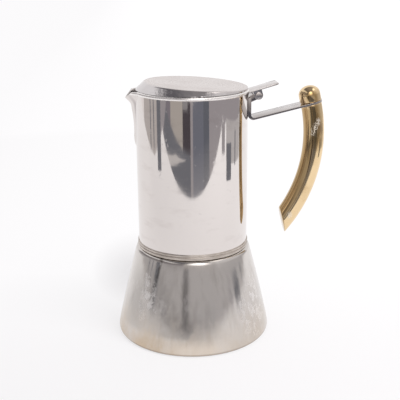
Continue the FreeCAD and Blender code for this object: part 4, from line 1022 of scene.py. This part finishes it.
def lid_section(turn):
    """From the middle of the top out over the side, round the rim and the skirt, and back inside."""
    rim = Vector((LID_RADIUS * cos(turn), LID_RADIUS * sin(turn), LID_BOTTOM))
    flat = Vector((cos(turn), sin(turn), 0))
    edge = on_top(turn, LID_TOP_RADIUS + 0.1, 0.0)
    points = [on_top(turn, LID_TOP_RADIUS * k / 14, LID_DISH * (1 - (k / 13) ** 2)) for k in range(1, 14)]
    start = on_top(turn, LID_TOP_RADIUS - LID_EDGE, 0.0)
    side_top = edge.lerp(rim, min(0.45, 1.0 / (edge - rim).length))
    for k in range(7):
        t = k / 6
        points.append(start * (1 - t) ** 2 + edge * 2 * t * (1 - t) + side_top * t * t)
    foot = rim + (edge - rim).normalized() * 0.45
    for k in range(1, 12):
        points.append(side_top.lerp(foot, k / 11))
    points.append(rim + (edge - rim).normalized() * 0.15 - flat * 0.04)
    points.append(rim - flat * 0.3)
    points.append(flat * SKIRT_RADIUS + Vector((0, 0, LID_BOTTOM)))
    points.append(flat * SKIRT_RADIUS + Vector((0, 0, SKIRT_BOTTOM + 0.2)))
    points.append(flat * (SKIRT_RADIUS - 0.2) + Vector((0, 0, SKIRT_BOTTOM)))
    points.append(flat * (SKIRT_RADIUS - LID_WALL) + Vector((0, 0, SKIRT_BOTTOM)))
    points.append(flat * (SKIRT_RADIUS - LID_WALL) + Vector((0, 0, LID_BOTTOM)))
    points.append(on_top(turn, LID_TOP_RADIUS - 1.6, LID_WALL))
    points += [on_top(turn, LID_TOP_RADIUS * k / 14, LID_WALL) for k in range(12, 0, -3)]
    return [tuple(point) for point in points]


LID_SIDES = 224
lid_sections = [lid_section(2 * pi * k / LID_SIDES) for k in range(LID_SIDES)]
lid_rings = [[tuple(on_top(0, 0, LID_DISH))]]
lid_rings += [[section[k] for section in lid_sections] for k in range(len(lid_sections[0]))]
lid_rings.append([tuple(on_top(0, 0, LID_WALL))])

lid_steel, tree, shader, place = new_finish("lid_steel")
to_middle = (-LID_SHIFT * MM, 0, 0)
centred = node(tree, "ShaderNodeVectorMath", {0: place, 1: to_middle}, operation="ADD").outputs["Vector"]
along = node(tree, "ShaderNodeSeparateXYZ", {"Vector": centred}).outputs
away = sums(tree, "SQRT", sums(tree, "ADD", sums(tree, "POWER", along["X"], 2.0),
                               sums(tree, "POWER", along["Y"], 2.0)), 0.0)
ringed = node(tree, "ShaderNodeTexNoise", {
    "W": sums(tree, "MULTIPLY", away, 900.0), "Scale": 1.0, "Detail": 3.0},
    noise_dimensions="1D").outputs["Fac"]
smears = cloud(tree, place, (1, 1, 1), 40, 5, 0.6)
on_flat = level(tree, away, (LID_TOP_RADIUS + 1.0) * MM, (LID_TOP_RADIUS - 1.0) * MM)
smeared = level(tree, smears, 0.45, 0.8)
top_colour = blended(tree, smeared, (0.685, 0.63, 0.605, 1), (0.605, 0.54, 0.515, 1))
side_colour = blended(tree, smeared, (0.66, 0.635, 0.635, 1), (0.58, 0.545, 0.545, 1))
colour = blended(tree, on_flat, side_colour, top_colour)
brushed = sums(tree, "MULTIPLY", on_flat, level(tree, ringed, 0.3, 0.7, 0.10, 0.24))
dressed(tree, shader, colour, sums(tree, "ADD", level(tree, smears, 0.3, 0.8, 0.06, 0.14), brushed))
on_side = sums(tree, "MULTIPLY", sums(tree, "SUBTRACT", 1.0, on_flat), DENT_DEPTH)
dents = sums(tree, "MULTIPLY", cloud(tree, place, (1, 1, 1), 190, 3, 0.5), on_side)
bumped(tree, shader, sums(tree, "ADD", sums(tree, "MULTIPLY", ringed, on_flat), dents), 0.05, 0.05)
lid_shell = skin("lid_pressing", lid_rings, lid_steel, crease=40)
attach(lid_shell, "lid")
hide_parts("lid_shell")

# Lid lever
# A short strip that is welded to the lid and sticks up over the hinge as a thumb rest, with two ears
# that are folded down onto the hinge pin.
lid_lever = copied("lid_thumb_lever", "lid_lever", strip_steel, 0.18)
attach(lid_lever, "lid")
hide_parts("lid_lever")

# Stage
# A flat white sheet on a table that runs far back behind the pot, and one large soft lamp. A grey room
# beyond the table's front and side edges shows only in the polished steel.
VIEW_TURN = Matrix.Rotation(radians(-4.0), 4, "Z")
TABLE_FRONT = -0.369
TABLE_EDGE = ((-1.40, 1.30), (-0.80, 0.38), (-0.54, -0.10), (-0.635, TABLE_FRONT), (0.72, TABLE_FRONT),
              (0.74, 0.17), (1.40, 1.30))


def stage_sheet(name, corners, faces, material):
    """A stage piece, turned to face the camera's side."""
    mesh = bpy.data.meshes.new(name)
    mesh.from_pydata(corners, [], faces)
    mesh.transform(VIEW_TURN)
    mesh.materials.append(material)
    sheet = bpy.data.objects.new(name, mesh)
    bpy.context.scene.collection.objects.link(sheet)
    return sheet


def seen_directly(tree):
    """1 for rays from the camera and for those that metal mirrors, 0 for the light on matt surfaces."""
    rays = node(tree, "ShaderNodeLightPath").outputs
    mirrored = sums(tree, "MAXIMUM", rays["Is Glossy Ray"], rays["Is Transmission Ray"])
    return sums(tree, "MAXIMUM", rays["Is Camera Ray"], mirrored)


white_paper = bpy.data.materials.new("white_paper")
white_paper.use_nodes = True
tree = white_paper.node_tree
tree.nodes.clear()
paper = node(tree, "ShaderNodeBsdfDiffuse", {"Color": (0.86, 0.85, 0.86, 1)})
place = node(tree, "ShaderNodeTexCoord").outputs["Object"]
along = node(tree, "ShaderNodeSeparateXYZ", {"Vector": place}).outputs
away = node(tree, "ShaderNodeVectorMath", {0: place}, operation="LENGTH").outputs["Value"]
glow = node(tree, "ShaderNodeEmission", {"Color": (0.99, 0.98, 0.99, 1),
                                         "Strength": level(tree, along["X"], -0.3, 0.3, 0.98, 1.08)})
behind = level(tree, along["Y"], -0.10, 0.10, 0.52, 0.94)
washed_out = sums(tree, "MAXIMUM", behind, level(tree, away, 0.25, 0.70, 0.52, 1.0))
# Painted shadow: less glow is mixed in behind the pot's left side, which darkens the sheet there beyond the
# lamp's own shadow
shaded = level(tree, spot(tree, place, (-36, 112, 0), (1, 0.5, 1), 8, 42), 0, 1, 1.0, 0.46)
share = sums(tree, "MULTIPLY", seen_directly(tree), sums(tree, "MULTIPLY", washed_out, shaded))
lit = node(tree, "ShaderNodeMixShader", {0: share, 1: paper.outputs["BSDF"], 2: glow.outputs["Emission"]})
node(tree, "ShaderNodeOutputMaterial", {"Surface": lit.outputs["Shader"]})

table_corners = [(x, y, 0) for x, y in TABLE_EDGE] + [(6, 9, 0), (-6, 9, 0)]
stage_sheet("table_sheet", table_corners, [tuple(range(len(table_corners)))], white_paper)
floor_corners = [(x, y, -0.0005) for x, y in ((-6, -6), (6, -6), (6, 9), (-6, 9))]
far_floor = stage_sheet("far_floor", floor_corners, [(0, 1, 2, 3)], white_paper)
far_floor.visible_glossy = False

# The room's dark floor beyond the table, with the colours seen in it from a bearing on, in degrees to the
# right of the camera's side
PALE = (0.90, 0.87, 0.87)
WALL_GREY = (0.37, 0.35, 0.37)
ROOM_THINGS = ((-120, PALE), (-110, (0.53, 0.50, 0.49)), (-74, WALL_GREY), (-52, (0.24, 0.22, 0.25)),
               (-43, (0.46, 0.43, 0.40)), (-18, (0.08, 0.07, 0.08)), (-3, WALL_GREY),
               (1, (0.178, 0.188, 0.23)), (22, (0.14, 0.15, 0.18)), (33, WALL_GREY), (108, PALE))
ROOM_SPAN = 120
ROOM_PLAN = ((-1.40, 1.40), (-1.40, 0.70), (-1.00, -0.20), (-1.00, -1.00), (1.20, -1.00), (1.25, 0.30),
             (1.25, 1.10))
CEILING = 1.1


def stage_glow(name):
    """A material of its own light for a card that only mirrors show."""
    material = bpy.data.materials.new(name)
    material.use_nodes = True
    tree = material.node_tree
    tree.nodes.clear()
    light = node(tree, "ShaderNodeEmission", {"Strength": 1.0})
    node(tree, "ShaderNodeOutputMaterial", {"Surface": light.outputs["Emission"]})
    place = node(tree, "ShaderNodeTexCoord").outputs["Object"]
    along = node(tree, "ShaderNodeSeparateXYZ", {"Vector": place}).outputs
    return material, tree, light.inputs["Color"], along


def plain_glow(name, colour):
    """A card's material of one colour."""
    material, tree, light_colour, along = stage_glow(name)
    light_colour.default_value = (*colour, 1)
    return material


def lying(name, outline, height, material):
    """A flat card beyond the table's edges."""
    return stage_sheet(name, [(x, y, height) for x, y in outline], [tuple(range(len(outline)))], material)


room_grey, tree, light_colour, along = stage_glow("room_grey")
bearing = sums(tree, "ARCTAN2", along["X"], sums(tree, "MULTIPLY", along["Y"], -1.0))
room_ramp = node(tree, "ShaderNodeValToRGB", {
    "Fac": level(tree, bearing, radians(-ROOM_SPAN - 4), radians(ROOM_SPAN - 4))})
room_ramp.color_ramp.interpolation = "CONSTANT"
for number, (degrees, colour) in enumerate(ROOM_THINGS):
    place = (degrees + ROOM_SPAN) / (2 * ROOM_SPAN)
    stops = room_ramp.color_ramp.elements
    stop = stops[number] if number < 2 else stops.new(place)
    stop.position = place
    stop.color = (*colour, 1)
beside = level(tree, sums(tree, "ABSOLUTE", along["X"], 0.0), 0.55, 0.45)
nearer = sums(tree, "MULTIPLY", level(tree, along["Y"], -0.60, -0.37, 0, 0.45), beside)
tree.links.new(blended(tree, nearer, room_ramp.outputs["Color"], (0.42, 0.41, 0.42, 1)), light_colour)
ground = lying("room_ground", ROOM_PLAN, -0.0003, room_grey)

wall_grey, tree, light_colour, along = stage_glow("wall_grey")
high_wall = blended(tree, level(tree, along["X"], 0.20, 0.90), (0.28, 0.26, 0.27, 1), (0.75, 0.73, 0.73, 1))
wall_colour = blended(tree, level(tree, along["Z"], 0.22, 0.42), (0.545, 0.53, 0.535, 1), high_wall)
tree.links.new(wall_colour, light_colour)
wall_corners = [(x, y, 0) for x, y in ROOM_PLAN] + [(x, y, CEILING) for x, y in ROOM_PLAN]
plan_corners = len(ROOM_PLAN)
wall_faces = [(k, k + 1, k + 1 + plan_corners, k + plan_corners) for k in range(plan_corners - 1)]
walls = stage_sheet("room_walls", wall_corners, wall_faces, wall_grey)

dark_grey = plain_glow("dark_grey", (0.185, 0.19, 0.215))
screen_grey = plain_glow("screen_grey", (0.31, 0.30, 0.31))
pale_grey = plain_glow("pale_grey", (0.60, 0.58, 0.575))


def upright(name, middle, width, height, material):
    """A standing card, square to the pot, that shows as a streak in the polished wall."""
    out = Vector((*middle, 0))
    side = Vector((-middle[1], middle[0], 0)).normalized() * width / 2
    up = Vector((0, 0, height))
    corners = [out - side, out + side, out + side + up, out - side + up]
    return stage_sheet(name, corners, [(0, 1, 2, 3)], material)


SHADE_OUTLINE = ((-0.735, -0.575), (-0.029, -0.57), (-0.02, TABLE_FRONT), (-0.60, TABLE_FRONT))
PAPER_OUTLINE = ((-0.436, TABLE_FRONT), (-0.303, -0.483), (-0.096, -0.533), (-0.215, -0.481),
                 (-0.347, TABLE_FRONT))
UPRIGHTS = (("left_post", (-0.437, -0.184), 0.070, 0.15, dark_grey),
            ("left_rod", (-0.586, -0.100), 0.020, 0.15, dark_grey),
            ("far_left_rod", (-0.588, -0.012), 0.020, 0.15, dark_grey),
            ("far_screen", (-0.20, -0.88), 0.15, 0.36, screen_grey),
            ("right_post", (0.412, -0.095), 0.091, 0.045, dark_grey),
            ("right_box", (0.503, -0.245), 0.070, 0.045, room_grey),
            ("right_board", (0.50, -0.009), 0.33, 0.055, wall_grey),
            ("right_rod", (0.489, 0.037), 0.020, 0.045, dark_grey))
cards = [ground, walls,
         lying("table_shade", SHADE_OUTLINE, -0.0002, dark_grey),
         lying("paper_corner", PAPER_OUTLINE, -0.0001, pale_grey)]
for name, middle, width, height, material in UPRIGHTS:
    cards.append(upright(name, middle, width, height, material))

# The ceiling, dark over the left of the pot, with a lamp at its right
ceiling_grey, tree, light_colour, along = stage_glow("ceiling_grey")
over_left = level(tree, along["X"], -0.42, 0.0)
overcast = blended(tree, over_left, (0.165, 0.16, 0.175, 1), (0.31, 0.295, 0.30, 1))
overcast = blended(tree, level(tree, along["X"], 0.26, 0.72), overcast, (0.85, 0.83, 0.83, 1))
overcast = blended(tree, level(tree, along["X"], -0.54, -0.86), overcast, (0.95, 0.93, 0.93, 1))
tree.links.new(overcast, light_colour)
lamp_glow = plain_glow("lamp_glow", (1.7, 1.65, 1.6))


def overhead(name, left, right, front, back, height, material):
    """A level card over the pot."""
    corners = [(left, front, height), (right, front, height), (right, back, height), (left, back, height)]
    return stage_sheet(name, corners, [(0, 1, 2, 3)], material)


cards += [overhead("ceiling", -0.90, 1.25, -1.00, 0.75, CEILING, ceiling_grey),
          overhead("ceiling_lamp", 0.38, 0.68, -0.30, 0.22, CEILING - 0.01, lamp_glow)]
window_glow, tree, light_colour, along = stage_glow("window_glow")
aside = sums(tree, "ABSOLUTE", sums(tree, "SUBTRACT", along["X"], 0.075), 0.0)
daylight = sums(tree, "MULTIPLY", level(tree, aside, 0.02, 0.19, 1.0, 0.0),
                level(tree, along["Z"], 0.14, 0.40))
tree.links.new(blended(tree, daylight, (0.56, 0.53, 0.52, 1), (3.9, 3.85, 3.8, 1)), light_colour)
WINDOW_Y = -0.380
window_corners = [(x, WINDOW_Y, z) for x, z in ((-0.12, 0.13), (0.26, 0.13), (0.26, 0.66), (-0.12, 0.66))]
cards.append(stage_sheet("window", window_corners, [(0, 1, 2, 3)], window_glow))
for card in cards:
    card.visible_camera = False
    card.visible_diffuse = False
    card.visible_shadow = False
    card.visible_transmission = False

world = bpy.data.worlds.new("studio")
bpy.context.scene.world = world
world.use_nodes = True
tree = world.node_tree
tree.nodes.clear()
sky_strength = level(tree, seen_directly(tree), 0, 1, 0.6, 0.95)
sky = node(tree, "ShaderNodeBackground", {"Color": (1.0, 0.985, 0.99, 1), "Strength": sky_strength})
node(tree, "ShaderNodeOutputWorld", {"Surface": sky.outputs["Background"]})

LAMP_PLACE = Vector((0.80, -0.70, 1.20))
lamp_data = bpy.data.lights.new("soft_lamp", "AREA")
lamp_data.shape = "DISK"
lamp_data.size = 0.9
lamp_data.energy = 15
lamp = bpy.data.objects.new("soft_lamp", lamp_data)
lamp_aim = (-LAMP_PLACE).to_track_quat("-Z", "Y").to_matrix().to_4x4()
lamp.matrix_world = VIEW_TURN @ Matrix.Translation(LAMP_PLACE) @ lamp_aim
lamp.visible_glossy = False
bpy.context.scene.collection.objects.link(lamp)

CAMERA_PLACE = (-0.0331, -0.4740, 0.2366)
CAMERA_TURN = radians(-4.601)
CAMERA_DIP = radians(90 - 17.185)
CAMERA_ROLL = radians(-0.301)
camera_data = bpy.data.cameras.new("camera")
camera_data.lens = 66.84
camera_data.sensor_width = 36.0
camera = bpy.data.objects.new("camera", camera_data)
camera.matrix_world = (Matrix.Translation(CAMERA_PLACE) @ Matrix.Rotation(CAMERA_TURN, 4, "Z")
                       @ Matrix.Rotation(CAMERA_DIP, 4, "X") @ Matrix.Rotation(CAMERA_ROLL, 4, "Z"))
bpy.context.scene.collection.objects.link(camera)
bpy.context.scene.camera = camera
bpy.context.scene.view_settings.view_transform = "Standard"
